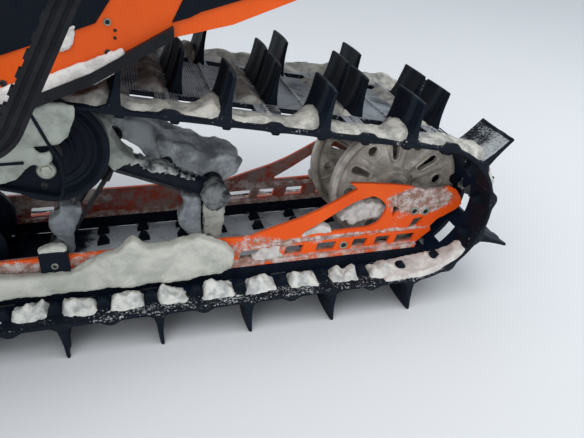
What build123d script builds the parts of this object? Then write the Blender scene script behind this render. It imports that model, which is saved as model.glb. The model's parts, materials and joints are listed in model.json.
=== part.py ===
"""Rear drive section of a snowmobile: track, skid frame with its wheels and arms, drive axle and tunnel.

Millimetres. +X points to the front of the machine, +Y to its left and +Z up.
The section stands on the tips of its paddles, with the origin under the middle of its box.
"""
import os
from math import acos, asin, atan2, cos, degrees, hypot, pi, radians, sin, tan

from build123d import *

os.makedirs("parts", exist_ok=True)

# Track
PITCH = 76.2
PITCH_COUNT = 54
TRACK_WIDTH = 381.0
BELT = 8.0
PADDLE_HEIGHT = 65.0
PADDLE_BASE = 22.0
PADDLE_TIP = 9.0
PADDLE_SPLIT = 96.0
PADDLE_GAP = 8.0
PADDLE_LAG = 10.0
DRIVE_LUG_HEIGHT = 18.0
DRIVE_LUG_BASE = 20.0
DRIVE_LUG_TOP = 9.0
DRIVE_LUG_WIDTH = 16.0
DRIVE_LUG_ROWS = (155.0, 40.0)
LUG_PHASE = 10.0
SEAT = 0.3
FIT = 0.05

# Wheels
REAR_WHEEL = 254.0
REAR_WHEEL_WIDTH = 19.0
REAR_WHEEL_Y = 59.5
SLOT_REACH = (60.0, 90.0)
SLOT_ENDS = (5.0, 8.0)
SLOT_TURN = 26.0
WEB_HOLE = 20.0
WEB_HOLE_REACH = 90.0
WEB_HOLE_TURN = 56.0
OPENINGS = 6
CARRIER_WHEEL = 163.0
CARRIER_WHEEL_WIDTH = 22.0
CARRIER_WHEEL_Y = 134.0
CARRIER_X = 587.0
CARRIER_HEIGHT = 277.0
IDLER_WHEEL = 135.0
IDLER_WHEEL_WIDTH = 15.0
IDLER_SHAFT = 16.0
HUB_PROUD = 2.0
IDLER_STATIONS = {"idler_wheels_rear": 830.0, "idler_wheels_front": 1085.0}
TYRE = 9.0
TYRE_EDGE = 3.0
WEB = 6.0
DISH = 3.0
HUB_WALL = 15.0
HUB_STEP = 5.0
HUB_STEP_PROUD = 3.0
AXLE = 25.0
SPACER = 34.0

# Rails and slides
RAIL_Y = 112.0
RAIL_WEB = 8.0
RAIL_FOOT = 26.0
RAIL_FOOT_THICK = 7.0
RAIL_BAR_TOP = 80.0
RAIL_CORNER = 6.0
BLOCK_LONG = 44.0
BLOCK_TALL = 40.0
BLOCK_THICK = 14.0
BLOCK_ABOVE = 18.0
SLIDE_HEIGHT = 24.0
SLIDE_WIDTH = 28.0
NOSE_X = 1190.0
NOSE_RADIUS = 350.0
NOSE_ANGLE = 22.0

# Drive axle
SPROCKET_TEETH = 8
DRIVE_X = 1674.0
DRIVE_HEIGHT = 290.0
SPROCKET_WIDTH = 22.0
SPROCKET_Y = 112.0
DRIVE_SHAFT = 32.0
DRIVE_STUB = 25.0
DRIVE_STUB_LENGTH = 42.0
BEARING = 110.0
BEARING_THICK = 16.0

# Tunnel
TRACK_CLEARANCE = 10.5
TUNNEL_INSIDE = TRACK_WIDTH + 2 * TRACK_CLEARANCE
TUNNEL_SHEET = 3.0
TUNNEL_TOP = 610.0
TUNNEL_FRONT = 1900.0
TUNNEL_TAIL = -110.0
BOARD_CLEARANCE = 13.0
BOARD_HEIGHT = DRIVE_HEIGHT + BEARING / 2 + BOARD_CLEARANCE
BOARD_END = 610.0
BOARD_OUT = 330.0
BOARD_THICK = 4.0
BOARD_HOLE = 34.0
BOARD_HOLE_COLUMNS = 16
BOARD_HOLE_ROWS = 2
TRIM_TALL = 15.0
TRIM_THICK = 12.0
EDGE_RAIL_WIDE = 26.0
EDGE_RAIL_TALL = 25.0
EDGE_GROOVE = 5.0
EDGE_GROOVE_DEPTH = 3.0
KICK_START = 598.0
KICK_ANGLE = 61.0
KICK_TOP = 575.0
KICK_BEND = 60.0
KICK_STRUT = 22.0
BRACKET_THICK = 4.0
BRACKET_LAP = 60.0
FLANGE = 14.0
EAR = 22.0
FRONT_FOOT = 130.0
BULKHEAD_HOLE = 8.5
BULKHEAD_LONG = 80.0
BULKHEAD_TALL = 120.0
BULKHEAD_INSET = 70.0
BUMPER_TUBE = 25.0
BUMPER_REACH = 100.0

# Arms and shocks
SHAFT = 20.0
ARM_TUBE = 32.0
REAR_PIVOT = (356.0, 53.0)
REAR_KNEE = (345.0, 157.0)
RAIL_TIE = (611.0, 64.0)
SHOCK_SHAFT = (705.0, 262.0)
LINK_SHAFT = (350.0, 108.0)
FRONT_PIVOT = (1010.0, 56.0)
FRONT_TOP = (1400.0, 262.0)
SHOCK_FOOT = (1150.0, 60.0)
NOSE_SHAFT = (1300.0, 74.0)
SHAFT_PROUD = 6.0
SLEEVE = 38.0
SLEEVE_LENGTH = 40.0
STRAP_THICK = 4.0
STRAP_WIDTH = 20.0
STRAP_Y = 38.0
REAR_ARM_Y = 72.0
REAR_ARM_DROP = 15.0
FRONT_ARM_Y = 70.0
LINK_THICK = 8.0
SHOCK_BODY = 46.0
SHOCK_CAP = 52.0
SHOCK_CAP_LENGTH = 14.0
SHOCK_ROD = 14.0
SHOCK_EYE = 30.0
SHOCK_EYE_WIDTH = 28.0
WELD = 3.0

# Where the belt's inner face lies above the floor, and the rear axle from the middle of the box
FLOOR = BELT + PADDLE_HEIGHT
REAR_REACH = max(REAR_WHEEL / 2 + SEAT + FLOOR, BUMPER_REACH - TUNNEL_TAIL + BUMPER_TUBE / 2)
AXLE_X = (REAR_REACH - TUNNEL_FRONT) / 2


def at(x, z):
    """A point of the side view: x forward of the rear axle, z above the belt's inner face."""
    return (x + AXLE_X, z + FLOOR)


def side(y):
    """The side view's plane at a distance y to the left."""
    return Plane.XZ.offset(-y)


def save(piece, name):
    piece.part.label = name
    export_step(piece.part, f"parts/{name}.step")


# The belt's inner face is the outline round four wheels: x, height, radius
SPROCKET_RADIUS = SPROCKET_TEETH * PITCH / (2 * pi) - BELT / 2
ROUND = (
    (0.0, REAR_WHEEL / 2 + SEAT, REAR_WHEEL / 2 + SEAT),
    (NOSE_X, NOSE_RADIUS, NOSE_RADIUS),
    (DRIVE_X, DRIVE_HEIGHT, SPROCKET_RADIUS),
    (CARRIER_X, CARRIER_HEIGHT, CARRIER_WHEEL / 2 + SEAT),
)


def outward(first, second):
    """The outward normal's angle on the straight run from one wheel to the next."""
    (x0, z0, r0), (x1, z1, r1) = first, second
    return atan2(z1 - z0, x1 - x0) - acos((r0 - r1) / hypot(x1 - x0, z1 - z0))


def wraps():
    """Each wheel with the angles where the belt meets and leaves it."""
    turns = []
    for i, wheel in enumerate(ROUND):
        meets = outward(ROUND[i - 1], wheel)
        leaves = outward(wheel, ROUND[(i + 1) % len(ROUND)])
        sweep = (leaves - meets) % (2 * pi)
        turns.append((wheel, meets, sweep))
    return turns


def rim(wheel, angle, grow):
    x, z, radius = wheel
    return at(x + (radius + grow) * cos(angle), z + (radius + grow) * sin(angle))


def loop_outline(grow):
    """The edges of the closed loop at a distance outside the belt's inner face."""
    turns = wraps()
    with BuildLine() as outline:
        for i, (wheel, meets, sweep) in enumerate(turns):
            x, z, radius = wheel
            CenterArc(at(x, z), radius + grow, degrees(meets), degrees(sweep))
            following, start, _ = turns[(i + 1) % len(turns)]
            Line(rim(wheel, meets + sweep, grow), rim(following, start, grow))
    return outline.edges()


def loop_length():
    turns = wraps()
    total = 0.0
    for i, (wheel, meets, sweep) in enumerate(turns):
        following, start, _ = turns[(i + 1) % len(turns)]
        leaving, arriving = rim(wheel, meets + sweep, 0), rim(following, start, 0)
        total += (wheel[2] + BELT / 2) * sweep + hypot(arriving[0] - leaving[0], arriving[1] - leaving[1])
    return total


def stations(count, phase):
    """Evenly spaced places on the belt: centre of its inner face and the outward normal's angle."""
    turns = wraps()
    spacing = loop_length() / count
    first_wrap = (turns[0][0][2] + BELT / 2) * turns[0][2]
    for n in range(count):
        s = (first_wrap + phase + n * spacing) % loop_length()
        for i, (wheel, meets, sweep) in enumerate(turns):
            arc = (wheel[2] + BELT / 2) * sweep
            if s <= arc:
                angle = meets + s / (wheel[2] + BELT / 2)
                yield n, rim(wheel, angle, 0), angle
                break
            s -= arc
            following, start, _ = turns[(i + 1) % len(turns)]
            leaving, arriving = rim(wheel, start, 0), rim(following, start, 0)
            run = hypot(arriving[0] - leaving[0], arriving[1] - leaving[1])
            if s <= run:
                part = s / run
                yield n, tuple(a + part * (b - a) for a, b in zip(leaving, arriving)), start
                break
            s -= run


def lugs(chosen, phase, low, high, base, tip):
    """Tapered lugs at the chosen stations, from low to high outside the belt's inner face."""
    for n, place, angle in stations(PITCH_COUNT, phase):
        if chosen(n):
            with Locations(Location(place, (0, 0, degrees(angle) - 90))):
                Polygon((-base / 2, low), (base / 2, low), (tip / 2, high), (-tip / 2, high), align=None)


def outer_lugs(n):
    return n % 2 == 0


def middle_lugs(n):
    return n % 2 == 1


def every_lug(n):
    return True


# Belt with its paddles outside and its drive lugs inside, one solid
BITE = 1.0
HALF_TRACK = TRACK_WIDTH / 2
with BuildPart() as track:
    with BuildSketch(side(HALF_TRACK)):
        make_face(loop_outline(BELT))
        make_face(loop_outline(0), mode=Mode.SUBTRACT)
    extrude(amount=TRACK_WIDTH)
    # columns of paddles: outer edge, width, which pitches carry them
    outer_width = HALF_TRACK - PADDLE_SPLIT - PADDLE_GAP / 2
    middle_width = PADDLE_SPLIT - PADDLE_GAP
    for edge, width, chosen in (
        (HALF_TRACK, outer_width, outer_lugs),
        (PADDLE_SPLIT - PADDLE_GAP / 2, middle_width, middle_lugs),
        (-PADDLE_GAP / 2, middle_width, middle_lugs),
        (-PADDLE_SPLIT - PADDLE_GAP / 2, outer_width, outer_lugs),
    ):
        with BuildSketch(side(edge)):
            lugs(chosen, LUG_PHASE - PADDLE_LAG, BELT - BITE, BELT + PADDLE_HEIGHT, PADDLE_BASE, PADDLE_TIP)
        extrude(amount=width)
    for row in DRIVE_LUG_ROWS:
        for y in (row, -row):
            with BuildSketch(side(y + DRIVE_LUG_WIDTH / 2)):
                lugs(every_lug, LUG_PHASE, BITE, -DRIVE_LUG_HEIGHT, DRIVE_LUG_BASE, DRIVE_LUG_TOP)
            extrude(amount=DRIVE_LUG_WIDTH)
save(track, "track")
print("belt loop", round(loop_length(), 1), "pitch", round(loop_length() / PITCH_COUNT, 2))


def wheel_disc(centre, y, diameter, width, bore, dish):
    """One wheel turned about the Y axis: rubber band, rim, dished web and hub."""
    x, z = centre
    outer, band, rim_in = diameter / 2, diameter / 2 - TYRE, diameter / 2 - 2 * TYRE
    hub, half, web = bore / 2 + HUB_WALL, width / 2, WEB / 2
    ledge, ring = hub + HUB_STEP, web + HUB_STEP_PROUD
    # distance from the axle, distance along it
    profile = (
        (bore / 2 + FIT, -half - HUB_PROUD), (hub, -half - HUB_PROUD),
        (hub, dish - ring), (ledge, dish - ring), (ledge, dish - web), (rim_in, -web),
        (band, -half), (outer - TYRE_EDGE, -half), (outer, TYRE_EDGE - half),
        (outer, half - TYRE_EDGE), (outer - TYRE_EDGE, half), (band, half),
        (rim_in, web), (ledge, dish + web), (ledge, dish + ring), (hub, dish + ring),
        (hub, half + HUB_PROUD), (bore / 2 + FIT, half + HUB_PROUD),
    )
    with BuildSketch(Plane.XY.offset(z)) as section:
        Polygon(*[(x + radius, y + along) for radius, along in profile], align=None)
    revolve(section.sketch, axis=Axis((x, y, z), (0, 1, 0)))


def wheels(name, x, height, places, diameter, width, bore, dish=0.0):
    """Plain wheels that share a name."""
    with BuildPart() as piece:
        for y in places:
            wheel_disc(at(x, height), y, diameter, width, bore, dish)
    save(piece, name)


def spoked_wheel(name, x, height, y, dish):
    """The rear wheel, with long slots and round holes through its web."""
    with BuildSketch() as slot:
        for reach, end in zip(SLOT_REACH, SLOT_ENDS):
            with Locations((reach, 0)):
                Circle(end)
        make_hull()
    with BuildPart() as piece:
        wheel_disc(at(x, height), y, REAR_WHEEL, REAR_WHEEL_WIDTH, AXLE, dish)
        with BuildSketch(side(y + REAR_WHEEL_WIDTH)) as openings:
            with Locations(at(x, height)):
                with PolarLocations(0, OPENINGS, start_angle=SLOT_TURN):
                    add(slot.sketch)
                with PolarLocations(WEB_HOLE_REACH, OPENINGS, start_angle=WEB_HOLE_TURN):
                    Circle(WEB_HOLE / 2)
        extrude(openings.sketch, amount=2 * REAR_WHEEL_WIDTH, mode=Mode.SUBTRACT)
    save(piece, name)


def bar(start, end, diameter):
    """A round bar or tube between two points, added to the open part."""
    run = Vector(*end) - Vector(*start)
    with BuildSketch(Plane(origin=start, z_dir=run.normalized())) as section:
        Circle(diameter / 2)
    extrude(section.sketch, amount=run.length)


def across(place, y0, y1, diameter):
    """A round bar along Y at a place of the side view."""
    x, z = at(*place)
    bar((x, y0, z), (x, y1, z), diameter)


def bored(place, y0, y1, diameter):
    with BuildSketch(side(max(y0, y1))) as hole:
        with Locations(at(*place)):
            Circle(diameter / 2 + FIT)
    extrude(hole.sketch, amount=abs(y1 - y0), mode=Mode.SUBTRACT)


REAR_AXLE = (0.0, REAR_WHEEL / 2 + SEAT)
CARRIER = (CARRIER_X, CARRIER_HEIGHT)
HALF_TUNNEL = TUNNEL_INSIDE / 2
SIDES = (("left", 1), ("right", -1))
IDLER_Y = RAIL_Y + SLIDE_WIDTH / 2 + IDLER_WHEEL_WIDTH / 2 + HUB_PROUD + SEAT
IDLER_HEIGHT = IDLER_WHEEL / 2 + SEAT

for label, hand in SIDES:
    spoked_wheel(f"rear_wheel_{label}", *REAR_AXLE, hand * REAR_WHEEL_Y, -hand * DISH)
    wheels(f"carrier_wheel_{label}", *CARRIER, [hand * CARRIER_WHEEL_Y],
           CARRIER_WHEEL, CARRIER_WHEEL_WIDTH, AXLE, -hand * DISH)
for name, station in IDLER_STATIONS.items():
    wheels(name, station, IDLER_HEIGHT, [IDLER_Y, -IDLER_Y], IDLER_WHEEL, IDLER_WHEEL_WIDTH, IDLER_SHAFT)

RAIL_SHAFTS = (REAR_PIVOT, RAIL_TIE, FRONT_PIVOT, SHOCK_FOOT, NOSE_SHAFT)

# Rail: a plate with cut-outs over a foot that holds the slide, its nose bent up with the belt
TAIL_TOP = ((325, RAIL_BAR_TOP), (287, 81), (237, 96), (201, 106), (165, 120), (129, 138), (95, 156),
            (110, 169), (76, 166), (32, 160), (-4, 154), (-36, 144), (-69, 142), (-88, 145))
TAIL_END = ((-104, 137), (-116, 120), (-121, 105), (-110, 94), (-94, 86), (-75, 77), (-62, 63), (-65, 53),
            (-31, SLIDE_HEIGHT))
BIG_WINDOW = ((140, 113), (98, 129), (64, 140), (50, 133), (34, 117),
              (35, 102), (49, 84), (63, 73), (123, 77))
SMALL_WINDOWS = (((21, 92), (21, 115), (6, 108)), ((-16, 64), (-25, 83), (-46, 85), (-34, 66)))
# lower windows: rear end, front end
LOW_WINDOWS = ((-28, 10), (23, 52), (69, 97), (131, 167), (194, 227), (245, 310),
               (635, 676), (745, 786), (865, 906))
LOW_WINDOW_BASE = 33.0
LOW_WINDOW_TOP = 51.0
LOW_WINDOW_SLANT = 5.0
nose_tip = radians(NOSE_ANGLE - 90)


def nose(height):
    """The point over the bend where the rail ends, at a height above the belt."""
    radius = NOSE_RADIUS - height
    return (NOSE_X + radius * cos(nose_tip), NOSE_RADIUS + radius * sin(nose_tip))


def nose_middle(height):
    radius = NOSE_RADIUS - height
    half = radians(NOSE_ANGLE / 2 - 90)
    return (NOSE_X + radius * cos(half), NOSE_RADIUS + radius * sin(half))


def strip(back, low, high):
    """The edges of a strip that follows the belt from its back end to the nose."""
    with BuildLine() as outline:
        under = REAR_WHEEL / 2 + SEAT - low
        turn = asin(-back / under) if back < 0 else 0
        if back < 0 and low < SLIDE_HEIGHT:
            tail = at(-under * sin(turn), REAR_WHEEL / 2 + SEAT - under * cos(turn))
            half = at(-under * sin(turn / 2), REAR_WHEEL / 2 + SEAT - under * cos(turn / 2))
            Line(at(back, high), tail)
            ThreePointArc(tail, half, at(0, low))
            Line(at(0, low), at(NOSE_X, low))
        else:
            Line(at(back, high), at(back, low))
            Line(at(back, low), at(NOSE_X, low))
        ThreePointArc(at(NOSE_X, low), at(*nose_middle(low)), at(*nose(low)))
        Line(at(*nose(low)), at(*nose(high)))
        ThreePointArc(at(*nose(high)), at(*nose_middle(high)), at(NOSE_X, high))
        Line(at(NOSE_X, high), at(back, high))
    return outline.edges()


for label, hand in SIDES:
    with BuildPart() as rail:
        with BuildSketch(side(hand * RAIL_Y)):
            with BuildLine():
                under, over = SLIDE_HEIGHT, RAIL_BAR_TOP
                ThreePointArc(at(NOSE_X, under), at(*nose_middle(under)), at(*nose(under)))
                Line(at(*nose(under)), at(*nose(over)))
                ThreePointArc(at(*nose(over)), at(*nose_middle(over)), at(NOSE_X, over))
                Polyline(at(NOSE_X, RAIL_BAR_TOP), *[at(*p) for p in TAIL_TOP + TAIL_END],
                         at(NOSE_X, SLIDE_HEIGHT))
            make_face()
            with BuildSketch(mode=Mode.SUBTRACT) as window:
                Polygon(*[at(*p) for p in BIG_WINDOW], align=None)
                fillet(window.vertices(), radius=RAIL_CORNER)
            for corners in SMALL_WINDOWS:
                Polygon(*[at(*p) for p in corners], align=None, mode=Mode.SUBTRACT)
            for back, front in LOW_WINDOWS:
                low, high, slant = LOW_WINDOW_BASE, LOW_WINDOW_TOP, LOW_WINDOW_SLANT
                Polygon(at(back, low), at(front, low), at(front - slant, high), at(back - slant, high),
                        align=None, mode=Mode.SUBTRACT)
        extrude(amount=RAIL_WEB / 2, both=True)
        with BuildSketch(side(hand * RAIL_Y)):
            make_face(strip(TAIL_END[-1][0], SLIDE_HEIGHT, SLIDE_HEIGHT + RAIL_FOOT_THICK))
        extrude(amount=RAIL_FOOT / 2, both=True)
        holes = [(REAR_AXLE, AXLE), *[(place, SHAFT) for place in RAIL_SHAFTS],
                 *[((station, IDLER_HEIGHT), IDLER_SHAFT) for station in IDLER_STATIONS.values()]]
        for place, diameter in holes:
            bored(place, hand * RAIL_Y - RAIL_FOOT, hand * RAIL_Y + RAIL_FOOT, diameter)
    save(rail, f"rail_{label}")
    with BuildPart() as slide:
        with BuildSketch(side(hand * RAIL_Y)):
            make_face(strip(TAIL_END[-1][0] - 20, SEAT, SLIDE_HEIGHT))
        extrude(amount=SLIDE_WIDTH / 2, both=True)
    save(slide, f"slide_{label}")

# Shafts that tie the rails with a block at the rail tie's ends, and those that hang from the tunnel
RAIL_REACH = RAIL_Y + RAIL_WEB / 2 + 3
block_top = RAIL_BAR_TOP + BLOCK_ABOVE
with BuildPart() as rail_blocks:
    for label, hand in SIDES:
        x, z = at(RAIL_TIE[0], block_top - BLOCK_TALL / 2)
        with Locations((x, hand * (RAIL_Y + RAIL_WEB / 2 + BLOCK_THICK / 2), z)):
            Box(BLOCK_LONG, BLOCK_THICK, BLOCK_TALL)
        bored(RAIL_TIE, hand * RAIL_Y, hand * (RAIL_REACH + SEAT), SHAFT)
save(rail_blocks, "rail_blocks")


def spacers(place, hub_face, plate_face):
    """Sleeves on a shaft that hold its wheels off the plates."""
    for hand in (1, -1):
        across(place, hand * (hub_face + SEAT), hand * (plate_face - SEAT), SPACER)


with BuildPart() as rear_axle:
    across(REAR_AXLE, -RAIL_REACH, RAIL_REACH, AXLE)
    spacers(REAR_AXLE, REAR_WHEEL_Y + REAR_WHEEL_WIDTH / 2 + HUB_PROUD, RAIL_Y - RAIL_WEB / 2)
save(rear_axle, "rear_axle")
with BuildPart() as rail_cross_shafts:
    for place in RAIL_SHAFTS:
        across(place, -RAIL_REACH, RAIL_REACH, SHAFT)
save(rail_cross_shafts, "rail_cross_shafts")
with BuildPart() as idler_shafts:
    for station in IDLER_STATIONS.values():
        reach = IDLER_Y + IDLER_WHEEL_WIDTH / 2 + HUB_PROUD
        across((station, IDLER_HEIGHT), -reach, reach, IDLER_SHAFT)
save(idler_shafts, "idler_shafts")
TUNNEL_REACH = HALF_TUNNEL + SHAFT_PROUD
with BuildPart() as carrier_shaft:
    across(CARRIER, -TUNNEL_REACH, TUNNEL_REACH, AXLE)
    spacers(CARRIER, CARRIER_WHEEL_Y + CARRIER_WHEEL_WIDTH / 2 + HUB_PROUD, HALF_TUNNEL - BRACKET_THICK)
save(carrier_shaft, "carrier_shaft")
with BuildPart() as tunnel_cross_shafts:
    for place in (SHOCK_SHAFT, FRONT_TOP):
        across(place, -TUNNEL_REACH, TUNNEL_REACH, SHAFT)
save(tunnel_cross_shafts, "tunnel_cross_shafts")


def between(first, second, share):
    return tuple(a + share * (b - a) for a, b in zip(first, second))


def arm(name, top, top_shaft, bottom, y, drop, shares):
    """Two tubes with a sleeve at each end, and cross tubes between them at shares of the length.

    The tubes meet the top sleeve at a drop below its shaft.
    """
    with BuildPart() as piece:
        start = (top[0], top[1] - drop)
        (x0, z0), (x1, z1) = at(*start), at(*bottom)
        for hand in (1, -1):
            bar((x0, hand * y, z0), (x1, hand * y, z1), ARM_TUBE)
            for place in (top, bottom):
                across(place, hand * y - SLEEVE_LENGTH / 2, hand * y + SLEEVE_LENGTH / 2, SLEEVE)
        for share in shares:
            across(between(start, bottom, share), -y, y, SHAFT)
        for place, shaft in ((top, top_shaft), (bottom, SHAFT)):
            bored(place, -y - SLEEVE_LENGTH, y + SLEEVE_LENGTH, shaft)
    save(piece, name)


REAR_STRAP_SHARE = 0.35
STRAP_SHARE = 0.5
arm("rear_arm", CARRIER, AXLE, REAR_KNEE, REAR_ARM_Y, REAR_ARM_DROP, (REAR_STRAP_SHARE, 0.7))
arm("front_arm", FRONT_TOP, SHAFT, FRONT_PIVOT, FRONT_ARM_Y, 0, (STRAP_SHARE,))
LINK_Y = REAR_ARM_Y - SLEEVE_LENGTH / 2 - LINK_THICK / 2 - SEAT
with BuildPart() as link_shafts:
    for place, reach in ((REAR_KNEE, REAR_ARM_Y + SLEEVE_LENGTH / 2), (LINK_SHAFT, LINK_Y + LINK_THICK / 2)):
        across(place, -reach - SHAFT_PROUD, reach + SHAFT_PROUD, SHAFT)
save(link_shafts, "link_shafts")
for label, hand in SIDES:
    with BuildPart() as link:
        with BuildSketch(side(hand * LINK_Y)):
            with Locations(at(*REAR_KNEE), at(*REAR_PIVOT)):
                Circle(SHAFT)
            make_hull()
            with Locations(at(*REAR_KNEE), at(*LINK_SHAFT), at(*REAR_PIVOT)):
                Circle(SHAFT / 2 + FIT, mode=Mode.SUBTRACT)
        extrude(amount=LINK_THICK / 2, both=True)
    save(link, f"rear_link_{label}")
REAR_ARM_START = (CARRIER[0], CARRIER[1] - REAR_ARM_DROP)
with BuildPart() as limiter_straps:
    # lower shaft, upper cross tube
    for ends in (
        (NOSE_SHAFT, between(FRONT_TOP, FRONT_PIVOT, STRAP_SHARE)),
        (RAIL_TIE, between(REAR_ARM_START, REAR_KNEE, REAR_STRAP_SHARE)),
    ):
        for y in (STRAP_Y, -STRAP_Y):
            with BuildSketch(side(y)) as band:
                with Locations(*[at(*end) for end in ends]):
                    Circle(SHAFT / 2 + STRAP_THICK)
                make_hull()
                with BuildSketch(mode=Mode.SUBTRACT):
                    with Locations(*[at(*end) for end in ends]):
                        Circle(SHAFT / 2 + FIT)
                    make_hull()
            extrude(band.sketch, amount=STRAP_WIDTH / 2, both=True)
save(limiter_straps, "limiter_straps")


def shock(name, lower, upper, body_share):
    """An air shock: two eyes, a rod, and an air sleeve with a cap at each end."""
    (x0, z0), (x1, z1) = at(*lower), at(*upper)
    run = Vector(x1 - x0, 0, z1 - z0)
    unit = run.normalized()
    start = Vector(x0, 0, z0) + unit * SHOCK_EYE / 2
    split = Vector(x0, 0, z0) + run * (1 - body_share)
    end = Vector(x1, 0, z1) - unit * SHOCK_EYE / 2
    with BuildPart() as rod:
        across(lower, -SHOCK_EYE_WIDTH / 2, SHOCK_EYE_WIDTH / 2, SHOCK_EYE)
        bar(start - unit * WELD, split, SHOCK_ROD)
        bored(lower, -SHOCK_EYE_WIDTH, SHOCK_EYE_WIDTH, SHAFT)
    save(rod, f"{name}_rod")
    with BuildPart() as body:
        across(upper, -SHOCK_EYE_WIDTH / 2, SHOCK_EYE_WIDTH / 2, SHOCK_EYE)
        bar(split, end + unit * WELD, SHOCK_BODY)
        bar(split, split + unit * SHOCK_CAP_LENGTH, SHOCK_CAP)
        bar(end - unit * SHOCK_CAP_LENGTH, end, SHOCK_CAP)
        bored(upper, -SHOCK_EYE_WIDTH, SHOCK_EYE_WIDTH, SHAFT)
    save(body, f"{name}_body")


shock("rear_shock", LINK_SHAFT, SHOCK_SHAFT, 0.55)
shock("front_shock", SHOCK_FOOT, FRONT_TOP, 0.55)

# Drive axle and sprockets
DRIVE = (DRIVE_X, DRIVE_HEIGHT)
BEARING_FACE = HALF_TUNNEL + TUNNEL_SHEET + BEARING_THICK
STUB_END = BEARING_FACE + DRIVE_STUB_LENGTH
with BuildPart() as drive_axle:
    across(DRIVE, -BEARING_FACE, BEARING_FACE, DRIVE_SHAFT)
    across(DRIVE, -STUB_END, STUB_END, DRIVE_STUB)
save(drive_axle, "drive_axle")
with BuildPart() as drive_sprockets:
    for y in (SPROCKET_Y, -SPROCKET_Y):
        with BuildSketch(side(y)):
            with Locations(at(*DRIVE)):
                Circle(SPROCKET_RADIUS - SEAT)
                with PolarLocations(SPROCKET_RADIUS, SPROCKET_TEETH):
                    Circle(SPROCKET_RADIUS * pi / SPROCKET_TEETH * 0.55, mode=Mode.SUBTRACT)
                Circle(DRIVE_SHAFT / 2 + FIT, mode=Mode.SUBTRACT)
        extrude(amount=SPROCKET_WIDTH / 2, both=True)
save(drive_sprockets, "drive_sprockets")

# Tunnel: sides, drop brackets, running boards with their edge rails
# back from the board's end, up from the board
LOWER_EDGE = ((0, 0), (95, 35), (199, 89), (275, 104), (361, 135), (550, 198))
# forward of the carrier shaft, up from it
DROP_REAR = ((-13, 33), (-21, 13), (-22, -18), (-17, -37), (-9, -43), (31, -31), (61, -22))
TRIM_POINTS = 3
BRACKET_Y = HALF_TUNNEL - BRACKET_THICK / 2
BRACKET_TOP = BOARD_HEIGHT + BRACKET_LAP
BULKHEAD = (TUNNEL_FRONT - BULKHEAD_INSET, (BOARD_HEIGHT + TUNNEL_TOP) / 2)
lower_edge = [(BOARD_END - back, BOARD_HEIGHT + up) for back, up in LOWER_EDGE]


def band(points, thick):
    """The corners of a strip of even thickness to the left of a line of points."""
    inner = []
    for i, (x, z) in enumerate(points):
        before, after = points[max(i - 1, 0)], points[min(i + 1, len(points) - 1)]
        turn = atan2(after[1] - before[1], after[0] - before[0]) + pi / 2
        inner.append((x + thick * cos(turn), z + thick * sin(turn)))
    return [*points, *reversed(inner)]


def plate(corners, y0, y1):
    """A flat plate with corners in the side view, between two distances to the left."""
    with BuildSketch(side(max(y0, y1))) as outline:
        Polygon(*[at(*corner) for corner in corners], align=None)
    extrude(outline.sketch, amount=abs(y1 - y0))


def edge_path():
    """The edge rail's lower line, from the front to the top of the kick-up."""
    rise = KICK_TOP - BOARD_HEIGHT
    with BuildLine() as path:
        points = ((TUNNEL_FRONT, BOARD_HEIGHT), (KICK_START, BOARD_HEIGHT),
                  (KICK_START - rise / tan(radians(KICK_ANGLE)), KICK_TOP))
        FilletPolyline(*[(x, 0, z) for x, z in (at(*p) for p in points)], radius=KICK_BEND)
    return path.wire()


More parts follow.
